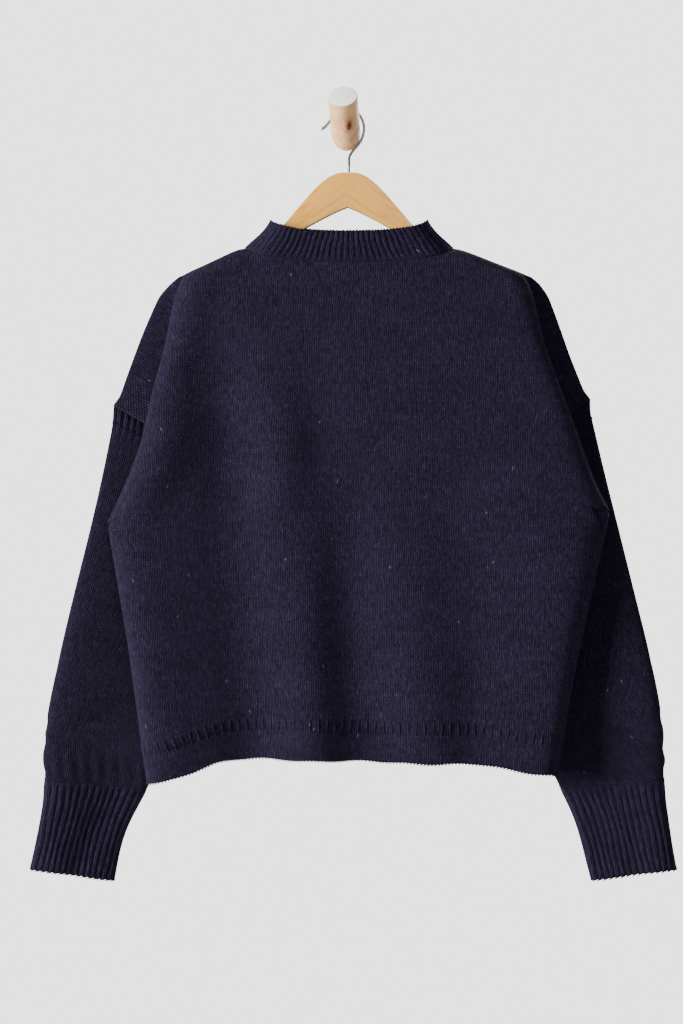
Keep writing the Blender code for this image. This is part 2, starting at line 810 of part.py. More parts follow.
def wall_peg(name, surface):
    """A round peg cut off square in front and on the wall's plane behind, tilted upwards."""
    tilt = math.radians(PEG_TILT)
    lean = math.radians(PEG_LEAN)
    axis = np.array([-math.sin(lean), -math.cos(tilt), math.sin(tilt)])
    axis /= np.linalg.norm(axis)
    side = np.cross(axis, (0.0, 0.0, 1.0))
    side /= np.linalg.norm(side)
    over = np.cross(side, axis)
    centre = np.array(PEG_PLACE)
    count = 40
    rings = [[], [], [], []]
    for i in range(count):
        angle = 2.0 * math.pi * i / count
        out = side * math.cos(angle) + over * math.sin(angle)
        start = centre + out * PEG_RADIUS
        back = start - axis * (start[1] / axis[1])
        rings[0].append(back)
        rings[1].append(centre + out * PEG_RADIUS + axis * (PEG_LENGTH - PEG_BEVEL))
        rings[2].append(centre + out * (PEG_RADIUS - PEG_BEVEL * 0.3) + axis * (PEG_LENGTH - 0.3))
        rings[3].append(centre + out * (PEG_RADIUS - PEG_BEVEL) + axis * PEG_LENGTH)
    faces = [list(range(count)), [3 * count + i for i in range(count)][::-1]]
    for k in range(3):
        for i in range(count):
            j = (i + 1) % count
            faces.append([k * count + j, k * count + i, (k + 1) * count + i, (k + 1) * count + j])
    made = build_mesh(name, np.vstack([np.array(ring) for ring in rings]), faces, surface)
    return made


def main():
    clear_scene()
    knit = material("navy_wool", NAVY, 0.9)
    rib = material("navy_wool_rib", NAVY, 0.92)
    panel("front", True, knit)
    panel("back", False, knit)
    welt("front_welt", True, rib)
    welt("back_welt", False, rib)
    gusset("underarm_gusset_left", -1, knit)
    gusset("underarm_gusset_right", 1, knit)
    sleeve("sleeve_left", -1, LEFT_SLEEVE, knit)
    sleeve("sleeve_right", 1, RIGHT_SLEEVE, knit)
    cuff("cuff_left", -1, LEFT_CUFF, rib)
    cuff("cuff_right", 1, RIGHT_CUFF, rib)
    neckband("neckband", rib)
    hanger_body("hanger_body", material("hanger_beech", WOOD, 0.45))
    hanger_hook("hanger_hook", material("hook_steel", STEEL, 0.3, 1.0))
    wall_peg("wall_peg", material("peg_pine", PINE, 0.6))


main()
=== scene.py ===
# %% [markdown]
# # A guernsey sweater on a wooden hanger
#
# A guernsey is a fisherman's sweater, knitted in thick navy wool: two like panels with plain
# welts, dropped shoulders, sleeves picked up at the armholes, a gusset under each arm, and
# ribs at the neck and the wrists. Here it hangs flat from a wooden hanger on a wall peg.
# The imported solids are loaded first. They fix every place and size, and each piece below is
# a finer version of one of them.

# %% The frame
import math

import bmesh
import bpy
import mathutils
import numpy as np
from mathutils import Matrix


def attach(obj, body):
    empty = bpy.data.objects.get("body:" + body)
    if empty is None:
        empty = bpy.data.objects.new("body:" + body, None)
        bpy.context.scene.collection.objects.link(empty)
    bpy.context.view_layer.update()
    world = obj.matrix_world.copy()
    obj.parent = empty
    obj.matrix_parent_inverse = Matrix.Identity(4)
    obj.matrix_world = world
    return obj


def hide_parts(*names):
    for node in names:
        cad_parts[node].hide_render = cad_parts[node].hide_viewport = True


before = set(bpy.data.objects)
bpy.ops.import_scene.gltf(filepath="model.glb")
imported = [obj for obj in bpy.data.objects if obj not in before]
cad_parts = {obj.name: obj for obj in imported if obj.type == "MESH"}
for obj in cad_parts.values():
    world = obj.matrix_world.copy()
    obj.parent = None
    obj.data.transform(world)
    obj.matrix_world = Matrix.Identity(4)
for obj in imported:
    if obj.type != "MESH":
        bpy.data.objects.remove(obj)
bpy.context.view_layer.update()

MM = 0.001
print("solids:", sorted(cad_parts))

# %% [markdown]
# ## How the cloth lies
#
# Front and back are nearly flat in the middle. At each side the two layers turn back behind
# the body to a hidden tuck and come out again to the shoulder line, so the strip that shows
# beside the body is the outer end of the shoulder. The tables give those lines in
# millimetres, seen from the room: x to the right, z up, and y into the wall.

# %% The lines that the cloth follows
PEG_PLACE = np.array((-2.5, 0.0, 5.5))
JOIN = 0.35
SEAM = 0.3
RIDGE_GAP = 0.9
RIDGE_Y = -18.0
CHEST_Y = -50.0
FULLER = 9.0
FRONT_EDGE_Y = -59.0
BACK_EDGE_Y = -40.0
BACK_MIDDLE_Y = -8.0
SIDE_Y = -49.0
WING_Y = -12.5
LAYER = 2.4
RIDGE_TURN = 3.0
UNDERARM_Z = -440.0
UNDERARM_DROOP = 22.0
WELT_HEIGHT = 34.0
FRONT_NECK_Z = -159.0
BACK_NECK_Z = -143.0
NECK_SHOULDER_Z = -137.0
NECK_TURN = 2.0
GUSSET_END = 1.18
VENT = 4.0
WALL = 2.3

# Each side of the body, level by level: 0 is the shoulder, 1 the underarm, 2 the welt seam.
# edge is the fold that shows at the side, tuck the hidden fold behind it, and ridge the
# shoulder line running down to the armhole.
LEFT_SIDE = (
    # level, edge_x, edge_z, tuck_x, tuck_z, ridge_x, ridge_z
    (0.00, -186, -165.5, -196, -170.2, -204, -174),
    (0.05, -196, -187, -201, -183, -209, -177.5),
    (0.10, -201, -205, -206, -197, -215, -182),
    (0.25, -212, -250, -207, -225, -229, -196),
    (0.50, -233, -325, -207, -275, -248, -239),
    (0.70, -240, -372, -207, -315, -262, -276),
    (0.85, -258, -420, -207, -345, -272, -304),
    (1.00, -283, -472, -206, -376, -281, -331),
)
RIGHT_SIDE = (
    # level, edge_x, edge_z, tuck_x, tuck_z, ridge_x, ridge_z
    (0.00, 203, -166.5, 213, -170.7, 221, -174),
    (0.05, 212, -187, 217, -183, 226, -177.5),
    (0.10, 217, -205, 221, -197, 232, -182),
    (0.25, 229, -250, 223.2, -225, 243, -196),
    (0.50, 256, -322, 225, -275, 258, -236),
    (0.70, 275, -376, 225, -315, 271, -274),
    (0.85, 288, -420, 225, -345, 282, -299),
    (1.00, 308, -457, 224, -376, 291, -324),
)
LEFT_FLANK = (
    # level, edge_x, edge_z
    (1.00, -288, -472),
    (1.20, -277, -534),
    (1.45, -264, -607),
    (1.70, -254, -680),
    (2.00, -245, -748),
)
RIGHT_FLANK = (
    # level, edge_x, edge_z
    (1.00, 314, -457),
    (1.20, 302, -510),
    (1.45, 285, -586),
    (1.70, 269, -658),
    (2.00, 256, -738),
)
# Bottom edge of the front, from side to side, as height over the share of the half width.
HEM = (
    # share, z
    (-1.00, -784),
    (-0.88, -780),
    (-0.72, -765),
    (-0.60, -755),
    (-0.35, -753),
    (0.00, -756),
    (0.60, -759),
    (0.85, -769),
    (1.00, -773),
)
# Soft folds of the front: where each starts, where it meets the hem, how far it stands out
# there (positive is towards the room), and its half width.
FRONT_FOLDS = (
    # top_x, top_z, hem_x, height, half_width
    (-190, -165, -98, -22, 42),
    (-156, -175, -40, 28, 31),
    (-114, -200, 24, -20, 28),
    (30, -380, 100, 15, 40),
    (104, -400, 142, -8, 24),
    (224, -320, 258, 18, 66),
)
FOLD_END_Z = -755.0
# How far the left side stands out just inside its fold, and where that is across the panel.
LEFT_RIM = 12.0
RIM_SHARE = 0.90
RIM_WIDTH = 0.10

# Each sleeve, ring by ring from the armhole seam to the cuff seam. outer is the edge on the
# silhouette, tuck the fold behind the body, inner the underarm line.
LEFT_SLEEVE = (
    # outer_x, outer_z, tuck_x, tuck_z, inner_x, inner_z, wing_y, fold_y, half_depth
    (-281, -331, -206, -376, -281, -472, -12.5, -31.0, 2.4),
    (-295, -405, -197, -440, -259, -508, -12.8, -31.0, 3.4),
    (-311, -480, -193, -505, -234, -552, -13.2, -30.5, 4.4),
    (-330, -555, -193, -572, -210, -592, -14.0, -28.0, 6.5),
    (-348, -632, -200, -645, -201, -646, -16.5, -20.0, 11.0),
    (-362, -698, -214, -708, -215, -709, -17.5, -17.5, 12.0),
    (-369, -746, -229, -757, -230, -757, -17.0, -17.0, 11.0),
    (-365, -780, -244, -792, -245, -792, -16.0, -16.0, 9.0),
)
RIGHT_SLEEVE = (
    # outer_x, outer_z, tuck_x, tuck_z, inner_x, inner_z, wing_y, fold_y, half_depth
    (291, -324, 224, -376, 306, -457, -12.5, -31.0, 2.4),
    (308, -400, 215, -440, 283, -500, -12.8, -31.0, 3.4),
    (326, -475, 211, -505, 255, -548, -13.2, -30.5, 4.4),
    (345, -552, 211, -572, 229, -592, -14.0, -28.0, 6.5),
    (365, -632, 218, -645, 219, -646, -16.5, -20.0, 11.0),
    (378, -698, 231, -708, 232, -709, -17.5, -17.5, 12.0),
    (383, -746, 245, -757, 246, -757, -17.0, -17.0, 11.0),
    (381, -780, 258, -792, 259, -792, -16.0, -16.0, 9.0),
)
LEFT_CUFF = (
    # outer_x, outer_z, inner_x, inner_z, front_y, back_y
    (-365, -780, -244, -793, -25.0, -6.5),
    (-366, -806, -256, -815, -25.0, -7.0),
    (-370, -832, -270, -840, -25.0, -7.5),
    (-375, -857, -279, -866, -25.0, -8.0),
    (-383, -890, -287, -901, -25.0, -8.0),
)
RIGHT_CUFF = (
    # outer_x, outer_z, inner_x, inner_z, front_y, back_y
    (381, -780, 258, -793, -25.0, -6.5),
    (382, -806, 270, -815, -25.0, -7.0),
    (387, -832, 281, -840, -25.0, -7.5),
    (391, -857, 289, -866, -25.0, -8.0),
    (397, -890, 299, -901, -25.0, -8.0),
)
# The standing neckband, from its seam to its edge.
NECKBAND = (
    # left_x, right_x, shoulder_z, front_z, back_z, front_y, back_y
    (-126, 129, -137, -159, -143, -50, -9.5),
    (-113, 116, -127, -147, -134, -49, -9.8),
    (-103, 106, -118, -134, -126, -48, -10.2),
    (-94, 97, -105, -121, -117.5, -46, -10.5),
)

# %% [markdown]
# ## Rows of points
#
# Each row crosses the body from one side to the other at one level. These helpers read the
# tables between their lines, round the corners, and lay front and back as a double layer.

# %% Rows
def column(table, level, index):
    """One column of a table at a level between its rows."""
    rows = np.array(table, float)
    return float(np.interp(level, rows[:, 0], rows[:, index]))


def ease(value):
    """0 to 1 with soft ends."""
    share = min(max(value, 0.0), 1.0)
    return share * share * (3.0 - 2.0 * share)


def rounded(points, passes=1):
    """A row of points with its corners rounded and its two ends kept."""
    row = np.array(points, float)
    for _ in range(passes):
        inner = (row[:-2] + 4.0 * row[1:-1] + row[2:]) / 6.0
        row = np.vstack([row[:1], inner, row[-1:]])
    return row


BODY_LEVELS = (0.0, 0.012, 0.045, 0.1, 0.17, 0.25, 0.36, 0.5, 0.64, 0.76, 0.88, 1.0)
FLANK_LEVELS = (1.0, 1.06, 1.12, 1.18, 1.32, 1.48, 1.66, 1.84, 2.0)
NECK_SHARES = (0.0, 0.24, 0.46, 0.66, 0.84, 0.96, 1.0)
SHOULDER_SHARES = (0.24, 0.48, 0.67, 0.82)
# Distance of a panel's last points from the side fold, above the gusset and below it.
TAIL_ABOVE = (66.0, 48.0, 34.0, 24.0)
TAIL_BELOW = (44.0, 22.0, 9.0, 0.0)


def neck_half_width(side):
    """Half the width of the neck seam on one side."""
    return abs(NECKBAND[0][0 if side < 0 else 1])


def middle_shares(side):
    """Places of a panel's points from its centre outwards, one of them at the neck's corner."""
    table = LEFT_SIDE if side < 0 else RIGHT_SIDE
    neck = neck_half_width(side) / abs(table[0][1])
    inside = [neck * share for share in NECK_SHARES]
    outside = [neck + (1.0 - neck) * share for share in SHOULDER_SHARES]
    return inside + outside


def neck_drop(share):
    """How far round the neck ring a point is, from 0 at the shoulder to 1 in the middle."""
    return max(0.0, 1.0 - share ** 2.6) ** 0.55


def top_point(side, share, front):
    """A point of a panel's top edge: the neckline, then the shoulder ridge."""
    table = LEFT_SIDE if side < 0 else RIGHT_SIDE
    edge_x = abs(table[0][1])
    edge_z = table[0][2]
    neck_x = neck_half_width(side)
    x = share * edge_x
    if x <= neck_x:
        drop = neck_drop(x / neck_x)
        deep_z = FRONT_NECK_Z if front else BACK_NECK_Z
        deep_y = NECKBAND[0][5] if front else NECKBAND[0][6]
        z = NECK_SHOULDER_Z + (deep_z - NECK_SHOULDER_Z) * drop - 1.5 * JOIN
        y = RIDGE_Y + (deep_y - RIDGE_Y) * min(1.0, drop * NECK_TURN)
        return side * x, y, z
    along = (x - neck_x) / (edge_x - neck_x)
    z = NECK_SHOULDER_Z - JOIN + (edge_z - NECK_SHOULDER_Z) * along
    return side * x, RIDGE_Y, z


def fold_height(x, z):
    """How far the soft folds move the front towards the room at a place."""
    total = 0.0
    for top_x, top_z, hem_x, height, half_width in FRONT_FOLDS:
        share = (top_z - z) / (top_z - FOLD_END_Z)
        if share <= 0.0:
            continue
        middle = top_x + (hem_x - top_x) * share ** 0.5
        fullness = ease(share * 2.2) * (0.75 + 0.4 * share)
        total += height * fullness * math.exp(-(((x - middle) / half_width) ** 2))
    return total


def hem_z(share):
    """Height of the bottom edge at a share of the half width, -1 to 1."""
    return column(HEM, share, 1)


def middle_point(side, share, level, front):
    """A point of the open middle of the front or back panel, share 0 to 1 from the centre."""
    table = LEFT_SIDE if side < 0 else RIGHT_SIDE
    flank = LEFT_FLANK if side < 0 else RIGHT_FLANK
    under_z = UNDERARM_Z - UNDERARM_DROOP * share ** 2
    top_x, top_y, top_z = top_point(side, share, front)
    if level <= 1.0:
        edge_x = column(table, level, 1)
        edge_z = column(table, level, 2)
        z = top_z + (under_z - top_z) * level
        end_z = table[0][2] + (UNDERARM_Z - UNDERARM_DROOP - table[0][2]) * level
        z += (edge_z - end_z) * share ** 4
    else:
        edge_x = column(flank, level, 1)
        edge_z = column(flank, level, 2)
        welt_z = hem_z(side * share) + WELT_HEIGHT
        z = under_z + (welt_z - under_z) * (level - 1.0)
        end_z = UNDERARM_Z - UNDERARM_DROOP
        end_z += (hem_z(side) + WELT_HEIGHT - end_z) * (level - 1.0)
        z += (edge_z - end_z) * share ** 4
    x = share * edge_x
    full = front_depth(x, z, share, level) if front else back_depth(share, level)
    reach = 1.0 - math.exp(-max(top_z - z, 0.0) / RIDGE_TURN)
    return x, top_y + (full - top_y) * reach, z


def front_depth(x, z, share, level):
    """Depth of the front's face: nearly flat below the neck, fuller and folded lower down."""
    chest = CHEST_Y - FULLER * ease(level)
    over_arm = ease((share - 0.45) / 0.5) * (1.0 - ease(level / 0.75))
    flat = chest + (CHEST_Y - chest) * over_arm
    edge = flat + (FRONT_EDGE_Y - flat) * ease((share - 0.75) / 0.25) * ease(level / 0.9)
    rim = LEFT_RIM * math.exp(-(((share - RIM_SHARE) / RIM_WIDTH) ** 2))
    rim *= 0.45 * ease(level / 0.12) + 0.75 * ease((level - 0.5) / 0.7)
    return edge - fold_height(x, z) - (rim if x < 0 else 0.0)


def back_depth(share, level):
    """Depth of the back: against the wall in the middle, in front of the sleeves at the sides."""
    forward = ease((share - 0.26) / 0.35) * ease((level - 0.08) / 0.25)
    return BACK_MIDDLE_Y + (BACK_EDGE_Y - BACK_MIDDLE_Y) * forward


def wing_middle(side, level):
    """Middle line of the double layer from the side fold, through the tuck, to the ridge.

    Gives the points and half the spacing of the two layers at each of them.
    """
    table = LEFT_SIDE if side < 0 else RIGHT_SIDE
    edge_x, edge_z, tuck_x, tuck_z, ridge_x, ridge_z = (
        column(table, level, index) for index in range(1, 7)
    )
    opened = ease(level / 0.2)
    reach = 1.0 - math.exp(-(table[0][2] - edge_z) / RIDGE_TURN)
    front_y = front_depth(edge_x, edge_z, 1.0, level)
    back_y = back_depth(1.0, level)
    first = RIDGE_Y + ((front_y + back_y) / 2.0 - RIDGE_Y) * reach
    spread = (back_y - front_y) / 2.0
    third = RIDGE_Y + (WING_Y - RIDGE_Y) * opened
    second = (first + third) / 2.0

    def place(share, a, b, y):
        x = a[0] * (1.0 - share) + b[0] * share
        z = a[1] * (1.0 - share) + b[1] * share
        return (x, y, z)

    edge = (edge_x, edge_z)
    tuck = (tuck_x, tuck_z)
    ridge = (ridge_x, ridge_z)
    points = [
        (edge_x, first * 0.8 + second * 0.2, edge_z),
        (edge_x, (first + second) / 2.0, edge_z),
        (edge_x, first * 0.2 + second * 0.8, edge_z),
        place(0.3, edge, tuck, second),
        place(0.6, edge, tuck, second),
        place(0.88, edge, tuck, second),
        (tuck_x, second * 0.7 + third * 0.3, tuck_z),
        (tuck_x, second * 0.3 + third * 0.7, tuck_z),
        place(0.15, tuck, ridge, third),
        place(0.45, tuck, ridge, third),
        place(0.75, tuck, ridge, third),
        place(0.95, tuck, ridge, third),
        place(1.0, tuck, ridge, third),
    ]
    halves = [spread * 0.8 + LAYER * 0.2, (spread + LAYER) / 2.0, LAYER * 1.2]
    halves += [LAYER] * 8 + [LAYER * 0.85]
    halves = [RIDGE_GAP + (half - RIDGE_GAP) * reach for half in halves]
    return points, halves + [RIDGE_GAP]


def offset_row(side, middle, halves, front):
    """A row moved sideways from its middle line, towards the room for the front layer."""
    along = np.gradient(middle[:, :2], axis=0)
    along /= np.maximum(np.linalg.norm(along, axis=1, keepdims=True), 1e-9)
    outward = side * np.stack([along[:, 1], -along[:, 0]], axis=1)
    sign = 1.0 if front else -1.0
    row = middle.copy()
    row[:, :2] += sign * outward * np.array(halves)[:, None]
    return row


def half_row(side, level, front):
    """One row of a panel from its centre to its end on one side."""
    shares = middle_shares(side)
    own = [middle_point(side, share, level, front) for share in shares]
    if level <= 1.0:
        other = [middle_point(side, share, level, not front) for share in shares]
        near, far = (own, other) if front else (other, own)
        middle = [(a[0], (a[1] + b[1]) / 2.0, c[2]) for a, b, c in zip(near, far, own)]
        halves = [max(RIDGE_GAP, (b[1] - a[1]) / 2.0) for a, b in zip(near, far)]
        points, spread = wing_middle(side, level)
        row = offset_row(side, rounded(middle + points), halves + spread, front)
        row[0, 0] = 0.0
        return row
    flank = LEFT_FLANK if side < 0 else RIGHT_FLANK
    edge_x = column(flank, level, 1)
    edge_z = column(flank, level, 2)
    if front:
        face_y = front_depth(edge_x, edge_z, 1.0, level)
        end_y = SIDE_Y - SEAM / 2.0
    else:
        face_y = back_depth(1.0, level)
        end_y = SIDE_Y + SEAM / 2.0
    points = own + [(edge_x, (face_y + end_y) / 2.0, edge_z), (edge_x, end_y, edge_z)]
    return spaced_tail(rounded(points), tail_distances(level))


def distances(row):
    """Distance of each point of a row from its first."""
    steps = np.linalg.norm(np.diff(row, axis=0), axis=1)
    return np.concatenate([[0.0], np.cumsum(steps)])


def points_at(row, target):
    """Points of a row at given distances from its start."""
    along = distances(row)
    return np.stack([np.interp(target, along, row[:, k]) for k in range(3)], axis=1)


def tail_distances(level):
    """Distances of the last points from the side fold at a level below the underarm."""
    share = min(1.0, (level - 1.0) / (GUSSET_END - 1.0))
    return [a + (b - a) * share for a, b in zip(TAIL_ABOVE, TAIL_BELOW)]


def spaced_tail(row, tail):
    """A row whose last points stand at given distances from the row's end."""
    along = distances(row)
    kept = len(row) - 2 - len(tail)
    return points_at(row, list(along[:kept]) + [along[-1] - distance for distance in tail])


def whole_row(left, right):
    """Two half rows joined at the centre, from the left end to the right."""
    return np.vstack([left[::-1], right[1:]])


def uncut_row(side, level, front):
    """A row below the underarm with its end still at the side seam."""
    flank = LEFT_FLANK if side < 0 else RIGHT_FLANK
    edge_x = column(flank, level, 1)
    edge_z = column(flank, level, 2)
    face_y = front_depth(edge_x, edge_z, 1.0, level) if front else back_depth(1.0, level)
    points = [middle_point(side, share, level, front) for share in middle_shares(side)]
    points += [(edge_x, (face_y + SIDE_Y) / 2.0, edge_z), (edge_x, SIDE_Y, edge_z)]
    return rounded(points)


def end_part(row, distance, count):
    """Evenly spaced points over the last stretch of a row."""
    length = distances(row)[-1]
    return points_at(row, np.linspace(length - distance, length, count))


SLEEVE_SHARES = (0.0, 0.02, 0.07, 0.18, 0.36, 0.56, 0.76, 0.91)
FOLD_SHARES = (0.1, 0.4, 0.7, 0.93, 0.98, 1.0)


def sleeve_ring(side, row):
    """One ring of a sleeve: a double layer, folded back on itself where the tuck is open."""
    outer_x, outer_z, tuck_x, tuck_z, inner_x, inner_z, wing_y, fold_y, half_depth = row
    points = []
    for share in SLEEVE_SHARES:
        x = outer_x + (tuck_x - outer_x) * share
        points.append((x, wing_y, outer_z + (tuck_z - outer_z) * share))
    points.append((tuck_x, wing_y * 0.7 + fold_y * 0.3, tuck_z))
    points.append((tuck_x, wing_y * 0.3 + fold_y * 0.7, tuck_z))
    for share in FOLD_SHARES:
        x = tuck_x + (inner_x - tuck_x) * share
        points.append((x, fold_y, tuck_z + (inner_z - tuck_z) * share))
    middle = rounded(points)
    middle[-2] = middle[-1] * 0.5 + middle[-3] * 0.5
    folded = min(1.0, abs(inner_x - tuck_x) / 15.0)
    tuck_half = half_depth * 0.75 + (LAYER - half_depth * 0.75) * folded
    halves = [0.0, 0.62, 0.9, 1.0, 1.0, 1.0, 1.0, 0.9]
    halves = [half_depth * share for share in halves]
    halves += [tuck_half, tuck_half * (0.9 + 0.1 * folded)]
    end_shares = (0.85, 0.75, 0.65, 0.55, 0.4, 0.0)
    flat_shares = (1.0, 1.0, 1.0, 0.9, 0.62, 0.0)
    for end_share, flat_share in zip(end_shares, flat_shares):
        halves.append(tuck_half * (end_share + (flat_share - end_share) * folded))
    front = offset_row(-side, middle, halves, True)
    back = offset_row(-side, middle, halves, False)
    ring = np.vstack([front, back[-2:0:-1]])
    return ring if side < 0 else ring[::-1]


def oval_ring(left, right, front_y, back_y, count, squareness=0.62):
    """A flattened ring between two edge points given as (x, z)."""
    middle_y = (front_y + back_y) / 2.0
    points = []
    for i in range(count):
        angle = 2.0 * math.pi * i / count
        across = math.cos(angle)
        deep = math.sin(angle)
        share = 0.5 - 0.5 * math.copysign(abs(across) ** squareness, across)
        x = left[0] + (right[0] - left[0]) * share
        z = left[1] + (right[1] - left[1]) * share
        half = (middle_y - front_y) if deep > 0.0 else (back_y - middle_y)
        y = middle_y - math.copysign(abs(deep) ** squareness, deep) * half
        points.append((x, y, z))
    return np.array(points)


def neck_ring(row):
    """One ring of the neckband: low in front, higher behind, highest over the shoulders."""
    left_x, right_x, shoulder_z, front_z, back_z, front_y, back_y = row

    def place(half_x, share, deep_z, deep_y):
        drop = neck_drop(share)
        y = RIDGE_Y + (deep_y - RIDGE_Y) * min(1.0, drop * NECK_TURN)
        return (half_x * share, y, shoulder_z + (deep_z - shoulder_z) * drop)

    down = NECK_SHARES[::-1]
    front = [place(left_x, share, front_z, front_y) for share in down]
    front += [place(right_x, share, front_z, front_y) for share in NECK_SHARES[1:]]
    back = [place(right_x, share, back_z, back_y) for share in down[1:]]
    back += [place(left_x, share, back_z, back_y) for share in NECK_SHARES[1:-1]]
    return np.array(front + back)


def spline_rows(grid, steps, before=None, after=None):
    """A finer, smooth version of a grid along its rows; before and after are rows to lean on."""
    first = 2.0 * grid[:1] - grid[1:2] if before is None else before[None]
    last = 2.0 * grid[-1:] - grid[-2:-1] if after is None else after[None]
    full = np.concatenate([first, grid, last])
    place = np.arange((len(grid) - 1) * steps + 1) / steps
    cell = np.minimum(place.astype(int), len(grid) - 2)
    t = (place - cell)[:, None, None]
    a, b, c, d = (full[cell + k] for k in range(4))
    near = (1.0 - t) ** 3 * a + (3.0 * t ** 3 - 6.0 * t ** 2 + 4.0) * b
    return (near + (-3.0 * t ** 3 + 3.0 * t ** 2 + 3.0 * t + 1.0) * c + t ** 3 * d) / 6.0


def spline_columns(grid, steps, closed=False):
    """The same as spline_rows, across each row."""
    turned = grid.transpose(1, 0, 2)
    if not closed:
        return spline_rows(turned, steps).transpose(1, 0, 2)
    looped = np.concatenate([turned, turned[:1]])
    made = spline_rows(looped, steps, before=turned[-1], after=turned[1])
    return made[:-1].transpose(1, 0, 2)


def arc_lengths(points):
    """Distance along each row of a grid from its first point."""
    steps = np.linalg.norm(np.diff(points, axis=1), axis=2)
    return np.concatenate([np.zeros((len(points), 1)), np.cumsum(steps, axis=1)], axis=1)


def sway(points):
    """A very slight, slow unevenness that moves every layer of the cloth together."""
    x, z = points[..., 0], points[..., 2]
    moved = points.copy()
    moved[..., 1] += 0.5 * np.sin(x / 31.0 + z / 57.0) + 0.4 * np.sin(z / 43.0 - x / 71.0 + 1.3)
    return moved


print("the spline gives", (len(BODY_LEVELS) - 1) * 4 + 1, "rows above the underarm at 4 steps")

# %% [markdown]
# ## From a surface to cloth
#
# A knitted piece is a surface with thickness. The surface is a list of points and quads; its
# texture map is measured in metres along the knitting, so one stitch is the same size on
# every piece. Solidify would do the thickness too, but it bends at seams, so here the two
# faces are offset along normals that are worked out once, and the rim is closed by hand.

# %% Cloth from points and quads
def placed(name, data):
    """An object for a mesh, a light or a camera, linked to the scene."""
    made = bpy.data.objects.new(name, data)
    bpy.context.collection.objects.link(made)
    return made


def smooth_mesh(name, points, faces, *surfaces):
    """A smooth mesh from points in the tables' millimetres."""
    mesh = bpy.data.meshes.new(name)
    mesh.from_pydata(((np.asarray(points) - PEG_PLACE) * MM).tolist(), [], faces)
    mesh.shade_smooth()
    for surface in surfaces:
        mesh.materials.append(surface)
    return mesh


def grid_ids(rows, columns, closed=False):
    """The corners of a grid's quads; a closed grid's last column meets its first."""
    index = np.arange(rows * columns).reshape(rows, columns)
    near = index if closed else index[:, :-1]
    after = np.roll(index, -1, axis=1) if closed else index[:, 1:]
    return np.stack([near[:-1], near[1:], after[1:], after[:-1]], axis=-1).reshape(-1, 4)


def vertex_normals(points, quads):
    """Mean direction of the quads round each point."""
    a, b, c, d = (points[quads[:, k]] for k in range(4))
    across = np.cross(c - a, d - b)
    normals = np.zeros_like(points)
    for k in range(4):
        np.add.at(normals, quads[:, k], across)
    return normals / np.maximum(np.linalg.norm(normals, axis=1, keepdims=True), 1e-9)


def cloth(name, points, quads, maps, surface):
    """A closed, even wall around a surface. maps gives each quad corner's place in the knit."""
    points = np.asarray(points, float)
    quads = np.asarray(quads, int)
    maps = np.asarray(maps, float)
    normals = vertex_normals(points, quads)
    count = len(points)
    outer = points + normals * WALL / 2.0
    inner = points - normals * WALL / 2.0
    following = np.roll(quads, -1, axis=1)
    edges = np.stack([quads.ravel(), following.ravel()], axis=1)
    forward = edges[:, 0] * count + edges[:, 1]
    backward = edges[:, 1] * count + edges[:, 0]
    open_edges = ~np.isin(forward, backward)
    rim = edges[open_edges]
    rim_maps = np.stack([maps.reshape(-1, 2), np.roll(maps, -1, axis=1).reshape(-1, 2)], axis=1)
    rim_maps = rim_maps[open_edges]
    rim_quads = np.stack([rim[:, 1], rim[:, 0], rim[:, 0] + count, rim[:, 1] + count], axis=1)
    rim_corner_maps = np.stack([rim_maps[:, 1], rim_maps[:, 0], rim_maps[:, 0], rim_maps[:, 1]], 1)
    faces = np.vstack([quads, quads[:, ::-1] + count, rim_quads])
    corners = np.concatenate([maps, maps[:, ::-1], rim_corner_maps])
    mesh = smooth_mesh(name, np.vstack([outer, inner]), faces.tolist(), surface)
    layer = mesh.uv_layers.new(name="knit")
    layer.data.foreach_set("uv", (corners.reshape(-1, 2) * MM).astype(np.float32).ravel())
    print(f"{name}: {len(faces) * 2} triangles, {flat_area(points, quads):.4f} square metres")
    return placed(name, mesh)


def flat_area(points, quads):
    """Area of a surface in square metres."""
    a, b, c, d = (points[quads[:, k]] for k in range(4))
    halves = np.linalg.norm(np.cross(c - a, d - b), axis=1) / 2.0
    return float(halves.sum()) * MM * MM


# %% [markdown]
# ## Shader maths as expressions
#
# The knit pattern is arithmetic on the texture map. A small class wraps a shader socket, so
# the arithmetic reads as Python and each operator adds one Math node.

# %% The expression class
class Value:
    """A number that varies over a surface, as a socket of a material's node tree."""

    def __init__(self, paint, socket):
        self.paint = paint
        self.socket = socket

    def math(self, operation, *others):
        return self.paint.math(operation, self, *others)

    def __add__(self, other):
        return self.math("ADD", other)

    def __sub__(self, other):
        return self.math("SUBTRACT", other)

    def __mul__(self, other):
        return self.math("MULTIPLY", other)

    def __truediv__(self, other):
        return self.math("DIVIDE", other)

    def __pow__(self, other):
        return self.math("POWER", other)

    def __lt__(self, other):
        return self.math("LESS_THAN", other)

    def __gt__(self, other):
        return self.math("GREATER_THAN", other)

    def __rsub__(self, other):
        return self.paint.math("SUBTRACT", other, self)

    def __rtruediv__(self, other):
        return self.paint.math("DIVIDE", other, self)

    __radd__ = __add__
    __rmul__ = __mul__


